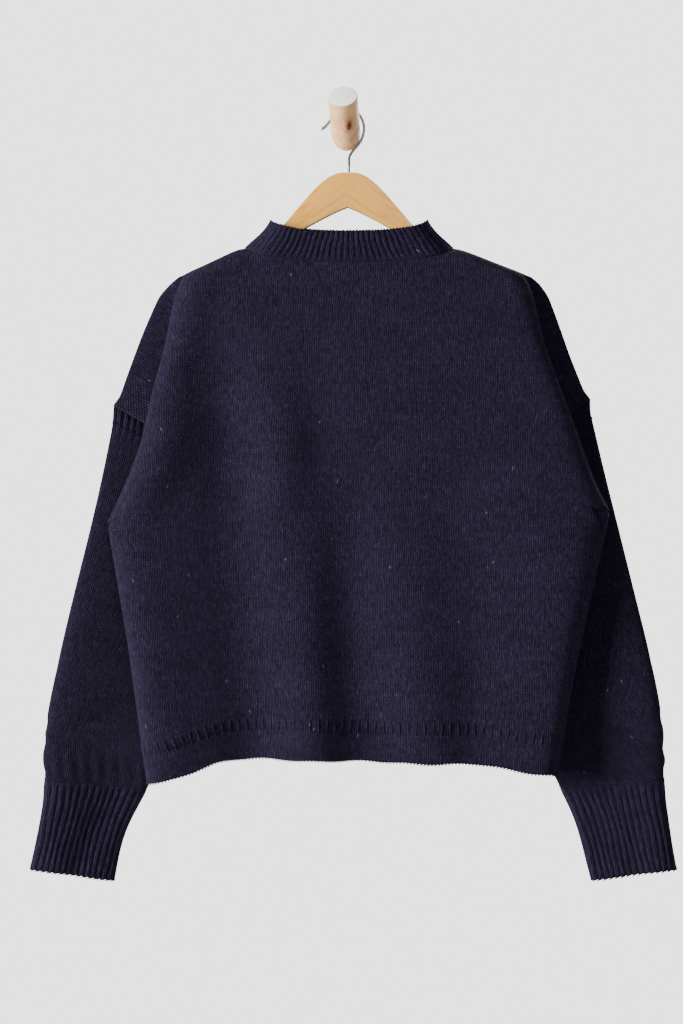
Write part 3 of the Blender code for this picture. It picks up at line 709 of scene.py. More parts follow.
class Paint:
    """One material and the tools to build its nodes."""

    def __init__(self, name, **fixed):
        self.material = bpy.data.materials.new(name)
        self.material.use_nodes = True
        self.tree = self.material.node_tree
        self.shader = self.tree.nodes["Principled BSDF"]
        for socket, value in fixed.items():
            self.shader.inputs[socket.replace("_", " ")].default_value = value

    def link(self, value, socket):
        """Links a value or a socket, or sets a plain number or colour."""
        if isinstance(value, Value):
            self.tree.links.new(value.socket, socket)
        elif isinstance(value, bpy.types.NodeSocket):
            self.tree.links.new(value, socket)
        else:
            socket.default_value = value

    def node(self, kind, settings=None, **values):
        """Any node: its settings, then its sockets by name, or by number as _0."""
        made = self.tree.nodes.new(kind)
        for key, value in (settings or {}).items():
            if key == "stops":
                ramp = made.color_ramp.elements
                while len(ramp) < len(value):
                    ramp.new(0.5)
                for element, (place, colour) in zip(ramp, value):
                    element.position = place
                    element.color = (*colour, 1.0)
            else:
                setattr(made, key, value)
        for key, value in values.items():
            key = int(key[1:]) if key[0] == "_" else key.replace("_", " ")
            self.link(value, made.inputs[key])
        return made

    def math(self, operation, *values):
        numbers = {f"_{i}": value for i, value in enumerate(values)}
        made = self.node("ShaderNodeMath", {"operation": operation}, **numbers)
        return Value(self, made.outputs[0])

    def join(self, x, y, z=0.0):
        return self.node("ShaderNodeCombineXYZ", X=x, Y=y, Z=z).outputs[0]

    def noise(self, vector, scale, detail=2.0, roughness=0.5):
        made = self.node(
            "ShaderNodeTexNoise", Vector=vector, Scale=scale, Detail=detail, Roughness=roughness
        )
        return Value(self, made.outputs["Fac"])

    def random(self, vector):
        """A different number from 0 to 1 for each whole-number place."""
        made = self.node("ShaderNodeTexWhiteNoise", Vector=vector)
        return Value(self, made.outputs["Value"])

    def blend(self, share, first, second, how="MIX"):
        """Two colours mixed."""
        made = self.node(
            "ShaderNodeMix", {"data_type": "RGBA", "blend_type": how, "clamp_factor": True},
            _0=share, _6=first, _7=second,
        )
        return made.outputs[2]

    def bump(self, height, strength, distance):
        made = self.node("ShaderNodeBump", Height=height, Strength=strength, Distance=distance)
        self.link(made.outputs[0], self.shader.inputs["Normal"])

    def colour(self, value):
        self.link(value, self.shader.inputs["Base Color"])


print("expression class ready")

# %% [markdown]
# ## The wool
#
# Stocking stitch shows columns of V-shaped stitches. Each V is two leaning legs of yarn. The
# yarn is heathered: every leg takes its own shade of navy, with a few paler and greyer ones.
# One function paints every knitted piece; the welt, the ribs and the seed-stitch band near the armhole
# differ in how the stitches are laid. The sleeves, ribs and welt also carry a painted shade that makes
# them darker than the body, and the hollows between stitches are darkened as painted shade.

# %% Knit materials
TO_MM = 1000.0
# A column and a row of stitches, in millimetres.
WALE = 4.2
COURSE = 3.1
# The band beside the armhole. The map of the strip there starts at WING_START, so that the
# same material can tell it from the rest of the panel.
SEED_BAND = 42.0
WING_START = 1000.0
SEED_PITCH = 2.9
GREY_SHARE = 0.12
PALE_FLECKS = 0.0004


def knit_paint(name, painted_shade=1.0, seed_band=False, depth=1.0):
    """Heathered navy wool in stocking stitch, made darker by a factor as painted shade."""
    paint = Paint(name, Roughness=0.93)
    paint.shader.inputs["Sheen Weight"].default_value = 0.035
    paint.shader.inputs["Sheen Roughness"].default_value = 0.45
    paint.shader.inputs["Sheen Tint"].default_value = (0.62, 0.50, 1.0, 1.0)
    paint.shader.inputs["Specular IOR Level"].default_value = 0.08
    place = paint.node("ShaderNodeUVMap", {"uv_map": "knit"}).outputs[0]
    parts = paint.node("ShaderNodeSeparateXYZ", Vector=place)
    across = Value(paint, parts.outputs[0]) * TO_MM
    along = Value(paint, parts.outputs[1]) * TO_MM
    wander = paint.noise(paint.join(across * 0.02, along * 0.035), 1.0, 2.0) - 0.5
    wale = (across + wander * 5.0) / WALE
    inside = wale.math("FRACT")
    lean = (inside - 0.5).math("ABSOLUTE")
    course = along / COURSE - lean * 1.5
    leg = ((inside * 2.0).math("FRACT") * math.pi).math("SINE")
    turn = (course.math("FRACT") * math.pi).math("SINE")
    stitch = (leg ** 0.6) * (turn ** 0.45)
    ids = paint.join((wale * 2.0).math("FLOOR"), course.math("FLOOR"))
    if seed_band:
        wing = across > (WING_START - 0.5)
        band = wing * (across < (WING_START + SEED_BAND))
        seeds = across / SEED_PITCH
        step = (seeds.math("FLOOR") * 0.5 + along / (SEED_PITCH * 1.3)).math("FRACT")
        grain = (step * math.pi).math("SINE") * ((seeds.math("FRACT") * math.pi).math("SINE"))
        stitch = stitch * (1.0 - band) + band * (grain ** 0.5) * 0.85
    shade = paint.random(ids)
    patch = paint.noise(paint.join(across * 0.11, along * 0.16), 1.0, 3.0)
    slow = paint.noise(paint.join(across * 0.012, along * 0.02), 1.0, 2.0)
    fibre = paint.noise(paint.join(across * 1.7, along * 0.8), 1.0, 3.0, 0.7)
    courses = paint.noise(paint.join(across * 0.012, along * 0.17), 1.0, 2.0)
    streak = paint.noise(paint.join(across * 0.36, along * 0.085), 1.0, 2.0, 0.6)
    mottle = shade * 0.36 + patch * 0.22 + slow * 0.3
    light = mottle + (fibre - 0.5) * 0.5 + (streak - 0.5) * 1.1 + courses * 0.2 - 0.1
    wool = paint.node(
        "ShaderNodeValToRGB",
        {"stops": (
            (0.10, (0.0050 * painted_shade, 0.0034 * painted_shade, 0.0098 * painted_shade)),
            (0.45, (0.0118 * painted_shade, 0.0082 * painted_shade, 0.0232 * painted_shade)),
            (0.72, (0.0186 * painted_shade, 0.0136 * painted_shade, 0.0350 * painted_shade)),
            (0.95, (0.0362 * painted_shade, 0.0300 * painted_shade, 0.0520 * painted_shade)),
        )},
        Fac=light,
    ).outputs[0]
    fleck_ids = paint.join((wale * 2.0).math("FLOOR") + 37.0, course.math("FLOOR"))
    pick = paint.random(fleck_ids)
    grey = (0.0085 * painted_shade, 0.0115 * painted_shade, 0.0170 * painted_shade, 1.0)
    tinted = paint.blend((pick > 1.0 - GREY_SHARE) * 0.45, wool, grey)
    tinted = paint.blend((pick < PALE_FLECKS) * 0.35, tinted, (0.14, 0.14, 0.17, 1.0))
    # Painted shade: the colour darkens where the stitch height is low, in the hollows between the legs of
    # each stitch, and over the seed-stitch band, whose heights are scaled down.
    groove = paint.node(
        "ShaderNodeValToRGB",
        {"stops": ((0.0, (0.26, 0.26, 0.28)), (0.75, (1.0, 1.0, 1.0)))},
        Fac=stitch,
    ).outputs[0]
    paint.colour(paint.blend(1.0, tinted, groove, "MULTIPLY"))
    paint.bump(stitch + fibre * 0.25, 0.9 * depth, 0.0011)
    return paint.material


# Painted shade: the sleeves, ribs and welt are darker copies of the body's wool, the sleeves and ribs
# most, since they lie further back and turn from the light.
body_wool = knit_paint("body_wool", seed_band=True)
sleeve_wool = knit_paint("sleeve_wool", painted_shade=0.80)
rib_wool = knit_paint("rib_wool", painted_shade=0.84, depth=0.8)
welt_wool = knit_paint("welt_wool", painted_shade=0.95)
print("materials:", [m.name for m in (body_wool, sleeve_wool, rib_wool, welt_wool)])

# %% [markdown]
# ## Front and back
#
# Each panel is one piece from the welt to the shoulder. It is made as two blocks of rows,
# above and below the underarm, because below it the cloth ends at the side seam and above
# it runs on into the strip beyond the armhole's tuck. The blocks share their joining row.

# %% The panels
STEPS = 6
WING_COLUMNS = 7 * STEPS
SEAM_FLARE = 4.5
FLARE_OUT = 0.86
FLARE_UP = 0.3


def panel_rows(front):
    """The coarse rows above the underarm and below it."""
    upper = [whole_row(half_row(-1, v, front), half_row(1, v, front)) for v in BODY_LEVELS]
    lower = [whole_row(half_row(-1, v, front), half_row(1, v, front)) for v in FLANK_LEVELS[1:]]
    return np.array(upper), np.array(lower)


def wing_map(points, side):
    """Knit map beyond the tuck: across is the distance from the armhole seam."""
    row = (LEFT_SIDE if side < 0 else RIGHT_SIDE)[-1]
    tuck = np.array((row[3], row[4]), float)
    ridge = np.array((row[5], row[6]), float)
    along = (tuck - ridge) / np.linalg.norm(tuck - ridge)
    up = np.array((-along[1], along[0]))
    up *= math.copysign(1.0, up[1])
    flat = points[..., [0, 2]] - ridge
    return np.stack([WING_START + flat @ up, flat @ along], axis=-1)


def body_map(points, centre):
    """Knit map of a panel: across is the distance from a row's centre, along is the height."""
    lengths = arc_lengths(points)
    lengths = lengths - lengths[:, centre:centre + 1]
    return np.stack([lengths, points[..., 2]], axis=-1)


def armhole_flare(grid):
    """Lets the strip stand out a little where the sleeve's picked-up stitches pull it."""
    moved = grid.copy()
    for side in (-1, 1):
        wing = wing_map(grid, side)
        near = np.exp(-(np.maximum(wing[..., 0] - WING_START, 0.0) / 9.0) ** 2)
        tip = np.exp(-(np.maximum(wing[..., 1], 0.0) / 16.0) ** 2)
        inwards = np.arange(grid.shape[1])[::-side]
        own = inwards < WING_COLUMNS
        shift = SEAM_FLARE * near * tip * own[None, :]
        moved[..., 0] += side * shift * FLARE_OUT
        moved[..., 2] += shift * FLARE_UP
    return moved


def panel(name, front, surface):
    """The whole front or back as cloth."""
    upper, lower = panel_rows(front)
    width, narrow = upper.shape[1], lower.shape[1]
    inset = (width - narrow) // 2
    lean_on = 2.0 * upper[-1] - upper[-2]
    lean_on[inset:width - inset] = lower[0]
    above = upper[-2][inset:width - inset]
    joined = np.concatenate([upper[-1:, inset:width - inset], lower])
    fine_upper = spline_columns(spline_rows(upper, STEPS, after=lean_on), STEPS)
    fine_lower = spline_columns(spline_rows(joined, STEPS, before=above), STEPS)
    offset = inset * STEPS
    span = fine_lower.shape[1]
    drift = fine_upper[-1, offset:offset + span] - fine_lower[0]
    for i in range(min(8, len(fine_lower))):
        fine_lower[i] += drift * (1.0 - i / 8.0) ** 2
    fine_upper, fine_lower = sway(armhole_flare(fine_upper)), sway(fine_lower)
    full = fine_upper.shape[1]
    centre = full // 2
    upper_map = body_map(fine_upper, centre)
    lower_map = body_map(fine_lower, span // 2)
    left_wing = wing_map(fine_upper, -1)
    right_wing = wing_map(fine_upper, 1)
    points = np.vstack([fine_upper.reshape(-1, 3), fine_lower[1:].reshape(-1, 3)])
    quads, corners = [], []

    def add(a, b, c, d, grid_map, ids):
        quads.append(np.stack([a, b, c, d], axis=-1).reshape(-1, 4))
        flat = grid_map.reshape(-1, 2)
        corners.append(flat[np.stack(ids, axis=-1).reshape(-1, 4)])

    rows = len(fine_upper)
    index = np.arange(rows * full).reshape(rows, full)
    spans = (
        (0, WING_COLUMNS, left_wing),
        (WING_COLUMNS, full - 1 - WING_COLUMNS, upper_map),
        (full - 1 - WING_COLUMNS, full - 1, right_wing),
    )
    for start, end, grid_map in spans:
        a = index[:-1, start:end]
        b = index[1:, start:end]
        c = index[1:, start + 1:end + 1]
        d = index[:-1, start + 1:end + 1]
        add(a, b, c, d, grid_map, (a, b, c, d))
    own = np.arange(len(fine_lower) * span).reshape(len(fine_lower), span)
    base = rows * full - span
    index = own + base
    index[0] = (rows - 1) * full + offset + np.arange(span)
    a, b, c, d = index[:-1, :-1], index[1:, :-1], index[1:, 1:], index[:-1, 1:]
    ids = (own[:-1, :-1], own[1:, :-1], own[1:, 1:], own[:-1, 1:])
    add(a, b, c, d, lower_map, ids)
    quads, corners = np.vstack(quads), np.vstack(corners)
    if not front:
        quads, corners = quads[:, ::-1], corners[:, ::-1]
    return cloth(name, points, quads, corners, surface), fine_lower


front, front_lower = panel("sweater_front", True, body_wool)
back, back_lower = panel("sweater_back", False, body_wool)
print("rows below the underarm:", len(front_lower))

# %% [markdown]
# ## Welts and gussets
#
# A guernsey's welts are plain bands that are knitted separately, so the hem has a vent at
# each side. The gusset is a small triangle let in under the arm, which gives the arm room.

# %% Welts and gussets
def grid_normals(grid, closed=False, flip=False):
    """Outward directions of a grid's points."""
    quads = grid_ids(*grid.shape[:2], closed)
    if flip:
        quads = quads[:, ::-1]
    return vertex_normals(grid.reshape(-1, 3), quads).reshape(grid.shape)


def grid_cloth(name, grid, grid_map, surface, closed=False, flip=False):
    """Cloth from one grid of points; a closed grid's map has one more column, for the last gap."""
    rows, columns = grid.shape[:2]
    quads = grid_ids(rows, columns, closed)
    ids = grid_ids(rows, columns + 1) if closed else quads
    if flip:
        quads, ids = quads[:, ::-1], ids[:, ::-1]
    return cloth(name, grid.reshape(-1, 3), quads, grid_map.reshape(-1, 2)[ids], surface)


def welt(name, front):
    """The plain band below a panel, its edge a little wavy and rolled out."""
    rows = []
    for share in (-JOIN / WELT_HEIGHT, 0.2, 0.4, 0.6, 0.8, 1.0):
        halves = []
        for side in (-1, 1):
            half = half_row(side, 2.0, front)
            half[:, 2] -= WELT_HEIGHT * share
            half[:, 0] -= side * 6.0 * share * (np.abs(half[:, 0]) / 250.0) ** 6
            half[-1, 1] += -VENT / 2.0 if front else VENT / 2.0
            halves.append(half)
        rows.append(whole_row(*halves))
    grid = sway(spline_rows(spline_columns(np.array(rows), 10), 3))
    share = np.linspace(0.0, 1.0, len(grid))[:, None]
    rolled = np.maximum(share - 0.75, 0.0) / 0.25
    x = grid[..., 0]
    outward = -1.0 if front else 1.0
    grid[..., 1] += outward * rolled ** 2 * (1.0 + 0.5 * np.sin(x / 17.0))
    grid[..., 2] += rolled * (0.7 * np.sin(x / 9.0) + 0.5 * np.sin(x / 23.0 + 1.0))
    grid_map = body_map(grid, grid.shape[1] // 2)
    return grid_cloth(name, grid, grid_map, welt_wool, flip=not front), grid


def gusset(name, side):
    """The underarm triangle; its edges lie a little under the panels that it joins."""
    rows = []
    for share in (-0.16, 0.0, 0.25, 0.5, 0.75, 1.0):
        level = 1.0001 + (GUSSET_END - 1.0) * max(share, 0.0)
        width = tail_distances(level)[-1] + 5.0
        ahead = end_part(uncut_row(side, level, True), width, 7)
        behind = end_part(uncut_row(side, level, False), width, 7)[::-1]
        row = rounded(np.vstack([ahead, behind[1:]]))
        row[:, 2] -= 33.0 * min(share, 0.0)
        rows.append(row)
    grid = sway(spline_rows(spline_columns(np.array(rows), 4), 5))
    normals = grid_normals(grid, flip=side < 0)
    down = np.linspace(0.0, 1.0, len(grid))[:, None]
    over = np.abs(np.linspace(-1.0, 1.0, grid.shape[1]))[None, :]
    full = np.clip((down - 0.12) / 0.2, 0.0, 1.0) * np.clip((1.0 - over) / 0.5, 0.0, 1.0)
    grid = grid - normals * (2.9 * (1.0 - full * full * (3.0 - 2.0 * full)))[..., None]
    grid_map = body_map(grid, grid.shape[1] // 2)[..., ::-1]
    return grid_cloth(name, grid, grid_map, body_wool, flip=side < 0)


front_welt, front_welt_grid = welt("sweater_front_welt", True)
back_welt, back_welt_grid = welt("sweater_back_welt", False)
gusset_left = gusset("sweater_gusset_left", -1)
gusset_right = gusset("sweater_gusset_right", 1)

# %% [markdown]
# ## Sleeves, cuffs and neckband
#
# These are tubes. Stitches picked up round the armhole start with a short rib, so the top
# of each sleeve is ribbed for a few rows before it turns to stocking stitch. Cuffs and
# neckband are ribbed all over. A rib is part of the surface's shape here, not only of its
# shading, so that it shows at the edges too.

# %% Tubes
RIB_PITCH = 8.4


def ring_map(grid, along):
    """Knit map of a tube, with one more column to close it."""
    closed = np.concatenate([grid, grid[:, :1]], axis=1)
    across = arc_lengths(closed)
    return np.stack([across, np.repeat(along[:, None], across.shape[1], axis=1)], axis=-1)


def even_rings(rings, count):
    """Each ring with its points evenly spaced."""
    made = []
    for ring in rings:
        closed = np.vstack([ring, ring[:1]])
        made.append(points_at(closed, np.linspace(0.0, distances(closed)[-1], count, endpoint=False)))
    return np.array(made)


def rib_profile(phase):
    """Round knitted rib and narrow groove, from -1 to 1."""
    wave = 0.5 + 0.5 * np.cos(phase)
    return 2.0 * wave ** 0.7 - 1.0


def row_distance(grid):
    """Mean distance of each row of a tube from its first."""
    steps = np.linalg.norm(np.diff(grid, axis=0), axis=2).mean(axis=1)
    return np.concatenate([[0.0], np.cumsum(steps)])


print("rib pitch:", RIB_PITCH, "mm")

# %% Sleeves
SLEEVE_RIB = 24.0
RIB_HEIGHT = 0.8
GATHER_HEIGHT = 0.6
SEAM_LAP = 3.0
# How far each sleeve's outer side stands forward of its inner side.
LEFT_LEAN = 19.0
RIGHT_LEAN = 17.0
SLEEVE_CREASES = (
    # place along the sleeve, slant, depth, width
    (0.80, 0.55, 2.2, 9.0),
    (0.90, -0.45, 1.8, 8.0),
    (0.70, -0.30, 1.4, 12.0),
    (0.96, 0.10, 1.5, 6.0),
)


def smooth_step(share):
    """ease for whole arrays."""
    share = np.clip(share, 0.0, 1.0)
    return share * share * (3.0 - 2.0 * share)


def leaning(rings, side, lean):
    """Turns rings a little towards the body: their outer side stands out from the wall."""
    outward = side * rings[..., 0]
    share = outward - outward.min(axis=1, keepdims=True)
    share = share / share.max(axis=1, keepdims=True)
    turned = rings.copy()
    turned[..., 1] -= lean[:, None] * smooth_step((share - 0.2) / 0.75)
    return turned


def sleeve(name, side, table):
    """One sleeve: its rings leant and splined, then ribbed, creased and gathered."""
    rings = np.array([sleeve_ring(side, row) for row in table])
    down = np.linspace(0.0, 1.0, len(rings))
    lean = LEFT_LEAN if side < 0 else RIGHT_LEAN
    rings = leaning(rings, side, lean * np.minimum(down / 0.3, 1.0))
    rings[0][:, 2] += SEAM_LAP
    coarse = spline_rows(rings, 7)
    grid = sway(spline_columns(coarse, 10, closed=True))
    along = row_distance(grid)
    grid_map = ring_map(grid, -along)
    across = grid_map[:, :-1, 0]
    normals = grid_normals(grid, closed=True)
    rib = rib_profile(2.0 * math.pi * across / RIB_PITCH)
    top = np.clip((SLEEVE_RIB - along) / 5.0, 0.0, 1.0)[:, None]
    crease = np.zeros_like(across)
    for place, slant, depth, wide in SLEEVE_CREASES:
        offset = (along[:, None] - place * along[-1]) - slant * (np.abs(grid[..., 0]) - 300.0)
        crease -= depth * np.exp(-((offset / wide) ** 2))
    wander = 0.8 * np.sin(across / 40.0)
    gathers = GATHER_HEIGHT * np.sin(2.0 * math.pi * across / (2.0 * RIB_PITCH) + wander)
    share = (along / along[-1])[:, None]
    low = np.clip((share - 0.62) / 0.2, 0.0, 1.0)
    ending = np.clip((share - 0.88) / 0.07, 0.0, 1.0) * np.clip((1.0 - share) / 0.02, 0.0, 1.0)
    drawn = -0.9 * np.exp(-((along - 13.0) / 8.0) ** 2)[:, None]
    moved = RIB_HEIGHT * rib * top + crease * low + gathers * ending + drawn
    moved -= 1.6 * np.exp(-along / 1.2)[:, None]
    tip = np.exp(-((grid[..., 0] - grid[0, 0, 0]) ** 2 + (grid[..., 2] - grid[0, 0, 2]) ** 2) / 150.0)
    grid = grid + normals * moved[..., None]
    grid[..., 0] += side * SEAM_FLARE * FLARE_OUT * tip
    grid[..., 2] += SEAM_FLARE * FLARE_UP * tip
    return grid_cloth(name, grid, grid_map, sleeve_wool, closed=True), grid


sleeve_left, left_grid = sleeve("sweater_sleeve_left", -1, LEFT_SLEEVE)
sleeve_right, right_grid = sleeve("sweater_sleeve_right", 1, RIGHT_SLEEVE)

# %% Cuffs
CUFF_PITCH = 7.3
CUFF_RIB_HEIGHT = 0.7
POINTS_A_RIB = 12


def cuff(name, side, table):
    """One cuff: evenly spaced ribs round a tube that draws in, with a slack lower half."""
    rings = []
    for outer_x, outer_z, inner_x, inner_z, front_y, back_y in table:
        outer, inner = (outer_x, outer_z), (inner_x, inner_z)
        left, right = (outer, inner) if side < 0 else (inner, outer)
        rings.append(oval_ring(left, right, front_y, back_y, 24))
    lean = LEFT_LEAN if side < 0 else RIGHT_LEAN
    rings = leaning(np.array(rings), side, np.linspace(lean, 0.55 * lean, len(rings)))
    outward = side * rings[..., 0]
    inner = 1.0 - smooth_step((outward - outward.min(axis=1, keepdims=True)) / 70.0)
    down = np.linspace(0.0, 1.0, len(rings))[:, None] ** 2
    rings[..., 0] -= side * 2.5 * inner * down
    rings[..., 2] -= 4.0 * inner * down
    rough = spline_columns(spline_rows(rings, 9), 16, closed=True)
    ribs = round(arc_lengths(rough)[len(rough) // 2, -1] / CUFF_PITCH)
    grid = sway(even_rings(rough, ribs * POINTS_A_RIB))
    along = row_distance(grid)
    count = grid.shape[1]
    turn = np.arange(count) / count
    wide = np.arange(count + 1) / count * ribs * CUFF_PITCH
    grid_map = np.stack(np.broadcast_arrays(wide[None, :], -along[:, None]), axis=-1)
    normals = grid_normals(grid, closed=True)
    share = (along / along[-1])[:, None]
    bend = 0.5 * np.sin(share * 5.0 + turn * 19.0) + 0.35 * np.sin(share * 9.0 - turn * 33.0)
    rib = rib_profile(2.0 * math.pi * (ribs * turn)[None, :] + bend)
    start = np.clip(share / 0.07, 0.0, 1.0)
    slack = 0.8 * np.sin(turn * 2.0 * math.pi * 5.0 + share * 3.0) * share
    grid = grid + normals * (CUFF_RIB_HEIGHT * rib * start + slack)[..., None]
    grid[0, :, 2] += 3.0 * JOIN
    ragged = np.clip((share - 0.92) / 0.08, 0.0, 1.0)
    grid[..., 2] += ragged * (0.9 * np.sin(turn * ribs * 2.0 * math.pi + 1.0) * 0.8)
    return grid_cloth(name, grid, grid_map, rib_wool, closed=True), grid


cuff_left, cuff_left_grid = cuff("sweater_cuff_left", -1, LEFT_CUFF)
cuff_right, cuff_right_grid = cuff("sweater_cuff_right", 1, RIGHT_CUFF)

# %% Neckband
NECK_RIBS = 70
NECK_PITCH = 7.4
NECK_RIB_HEIGHT = 0.62


def neckband(name):
    """The ribbed ring, from its edge down to its seam."""
    rings = np.array([neck_ring(row) for row in reversed(NECKBAND)])
    rings[-1][:, 2] -= 0.6
    rough = spline_columns(spline_rows(rings, 8), 10, closed=True)
    grid = even_rings(rough, NECK_RIBS * POINTS_A_RIB)
    along = row_distance(grid)
    count = grid.shape[1]
    turn = np.arange(count) / count
    wide = np.arange(count + 1) / count * NECK_RIBS * NECK_PITCH
    grid_map = np.stack(np.broadcast_arrays(wide[None, :], -along[:, None]), axis=-1)
    normals = grid_normals(grid, closed=True)
    share = (along / along[-1])[:, None]
    bend = 0.6 * np.sin(share * 4.0 + turn * 23.0) + 0.4 * np.sin(share * 7.0 - turn * 41.0)
    rib = rib_profile(2.0 * math.pi * (NECK_RIBS * turn)[None, :] + bend)
    ending = np.clip((1.0 - share) / 0.2, 0.15, 1.0)
    grid = grid + normals * (NECK_RIB_HEIGHT * rib * ending)[..., None]
    top = np.clip((0.12 - share) / 0.12, 0.0, 1.0)
    behind = np.clip((grid[..., 1] + 26.0) / 10.0, 0.0, 1.0)
    grid[..., 2] += top * (0.4 * np.sin(turn * 37.0) - 0.8 + 2.2 * behind)
    return grid_cloth(name, grid, grid_map, rib_wool, closed=True), grid


neck, neck_grid = neckband("sweater_neckband")

# %% [markdown]
# ## Edge loops, seam ridges and rib ticks
#
# Cast-on and cast-off edges end in a row of small loops, and the stitches picked up at the
# armholes stand up as a fine ridge. They all repeat along a path, so one Geometry Nodes tree
# makes them: it spaces points along an edge, turns each one to the cloth, and puts a short
# bent strand of yarn on it. The same tree with longer strands set upright makes the row of
# rib stitches above the welt.

# %% The tree that sets yarn along a path
def yarn_tree(name):
    """Bent strands of yarn along an edge that carries an 'out' direction."""
    tree = bpy.data.node_groups.new(name, "GeometryNodeTree")

    def socket(label, kind, way="INPUT"):
        tree.interface.new_socket(label, in_out=way, socket_type="NodeSocket" + kind)

    def add(kind, values=(), **settings):
        """A node with its settings, and the values or links of its sockets."""
        node = tree.nodes.new(kind)
        for key, value in settings.items():
            setattr(node, key, value)
        for key, value in dict(values).items():
            if isinstance(value, bpy.types.NodeSocket):
                tree.links.new(value, node.inputs[key])
            else:
                node.inputs[key].default_value = value
        return node.outputs

    socket("Geometry", "Geometry")
    for label in ("Spacing", "Length", "Height", "Thickness", "Turn"):
        socket(label, "Float")
    socket("Seed", "Int")
    socket("Wool", "Material")
    socket("Geometry", "Geometry", "OUTPUT")
    start = add("NodeGroupInput")
    # Points along the path, which keep its direction as the attribute run.
    path = add("GeometryNodeMeshToCurve", {"Mesh": start["Geometry"]})
    spaced = add(
        "GeometryNodeResampleCurve", {"Curve": path["Curve"], "Length": start["Spacing"]}, mode="LENGTH"
    )
    tangent = add("GeometryNodeInputTangent")
    kept = add(
        "GeometryNodeStoreNamedAttribute",
        {"Geometry": spaced["Curve"], "Name": "run", "Value": tangent["Tangent"]},
        data_type="FLOAT_VECTOR", domain="POINT",
    )
    points = add("GeometryNodeCurveToPoints", {"Curve": kept["Geometry"]}, mode="EVALUATED")
    # Each strand lies along the path, stands up along out, and turns a little at random.
    run = add("GeometryNodeInputNamedAttribute", {"Name": "run"}, data_type="FLOAT_VECTOR")
    out = add("GeometryNodeInputNamedAttribute", {"Name": "out"}, data_type="FLOAT_VECTOR")
    aim = add("FunctionNodeAlignRotationToVector", {"Vector": run["Attribute"]}, axis="X")
    raised = add(
        "FunctionNodeAlignRotationToVector",
        {"Rotation": aim["Rotation"], "Vector": out["Attribute"]}, axis="Z", pivot_axis="X",
    )
    wobble = add(
        "FunctionNodeRandomValue", {2: -WOBBLE, 3: WOBBLE, "Seed": start["Seed"]}, data_type="FLOAT"
    )
    total = add("ShaderNodeMath", {0: start["Turn"], 1: wobble[1]}, operation="ADD")
    spin = add("FunctionNodeAxisAngleToRotation", {"Axis": (0.0, 0.0, 1.0), "Angle": total[0]})
    turned = add(
        "FunctionNodeRotateRotation",
        {"Rotation": raised["Rotation"], "Rotate By": spin["Rotation"]}, rotation_space="LOCAL",
    )
    # The strand itself: a low bow, swept with a small ring.
    ends = [
        add("ShaderNodeMath", {0: start["Length"], 1: half}, operation="MULTIPLY") for half in (-0.5, 0.5)
    ]
    places = [add("ShaderNodeCombineXYZ", {"X": end[0]})[0] for end in ends]
    top = add("ShaderNodeCombineXYZ", {"Z": start["Height"]})[0]
    bow = add(
        "GeometryNodeCurveQuadraticBezier",
        {"Resolution": 6, "Start": places[0], "Middle": top, "End": places[1]},
    )
    ring = add(
        "GeometryNodeCurvePrimitiveCircle", {"Resolution": 6, "Radius": start["Thickness"]}, mode="RADIUS"
    )
    strand = add(
        "GeometryNodeCurveToMesh",
        {"Curve": bow["Curve"], "Profile Curve": ring["Curve"], "Fill Caps": True},
    )
    strands = add(
        "GeometryNodeInstanceOnPoints",
        {"Points": points["Points"], "Instance": strand["Mesh"], "Rotation": turned["Rotation"]},
    )
    real = add("GeometryNodeRealizeInstances", {"Geometry": strands["Instances"]})
    smooth = add("GeometryNodeSetShadeSmooth", {"Geometry": real["Geometry"]})
    paint = add(
        "GeometryNodeSetMaterial", {"Geometry": smooth["Geometry"], "Material": start["Wool"]}
    )
    add("NodeGroupOutput", {"Geometry": paint["Geometry"]})
    return tree


WOBBLE = 0.12
YARN = yarn_tree("yarn_along_a_path")


def yarn_along(name, paths, wool, spacing, length, height, thickness, turn, seed):
    """Runs the tree along paths given as (points, out directions, closed) in millimetres."""
    places, edges, outs = [], [], []
    for points, out, closed in paths:
        base = len(places)
        places += ((points - PEG_PLACE) * MM).tolist()
        outs += out.tolist()
        edges += [(base + i, base + i + 1) for i in range(len(points) - 1)]
        if closed:
            edges.append((base + len(points) - 1, base))
    mesh = bpy.data.meshes.new(name)
    mesh.from_pydata(places, edges, [])
    layer = mesh.attributes.new("out", "FLOAT_VECTOR", "POINT")
    layer.data.foreach_set("vector", np.array(outs, np.float32).ravel())
    path = placed(name + "_path", mesh)
    modifier = path.modifiers.new("yarn", "NODES")
    modifier.node_group = YARN
    values = {
        "Spacing": spacing * MM, "Length": length * MM, "Height": height * MM,
        "Thickness": thickness * MM, "Turn": turn, "Seed": seed, "Wool": wool,
    }
    for item in YARN.interface.items_tree:
        if item.in_out == "INPUT" and item.name in values:
            modifier[item.identifier] = values[item.name]
    seen = bpy.context.evaluated_depsgraph_get()
    made_mesh = bpy.data.meshes.new_from_object(path.evaluated_get(seen))
    bpy.data.objects.remove(path)
    made_mesh.name = name
    layer = made_mesh.uv_layers.get("knit") or made_mesh.uv_layers.new(name="knit")
    where = np.array([made_mesh.vertices[loop.vertex_index].co for loop in made_mesh.loops])
    layer.data.foreach_set("uv", where[:, [0, 2]].astype(np.float32).ravel())
    print(f"{name}: {len(made_mesh.polygons)} faces")
    return placed(name, made_mesh)


print("yarn tree nodes:", len(YARN.nodes))

# %% Edges and seams
def lifted(grid, row, amount, closed, flip=False):
    """A path on one row of a grid, raised from its surface, with its outward directions."""
    normals = grid_normals(grid, closed, flip)[row]
    return grid[row] + normals * amount, normals, closed


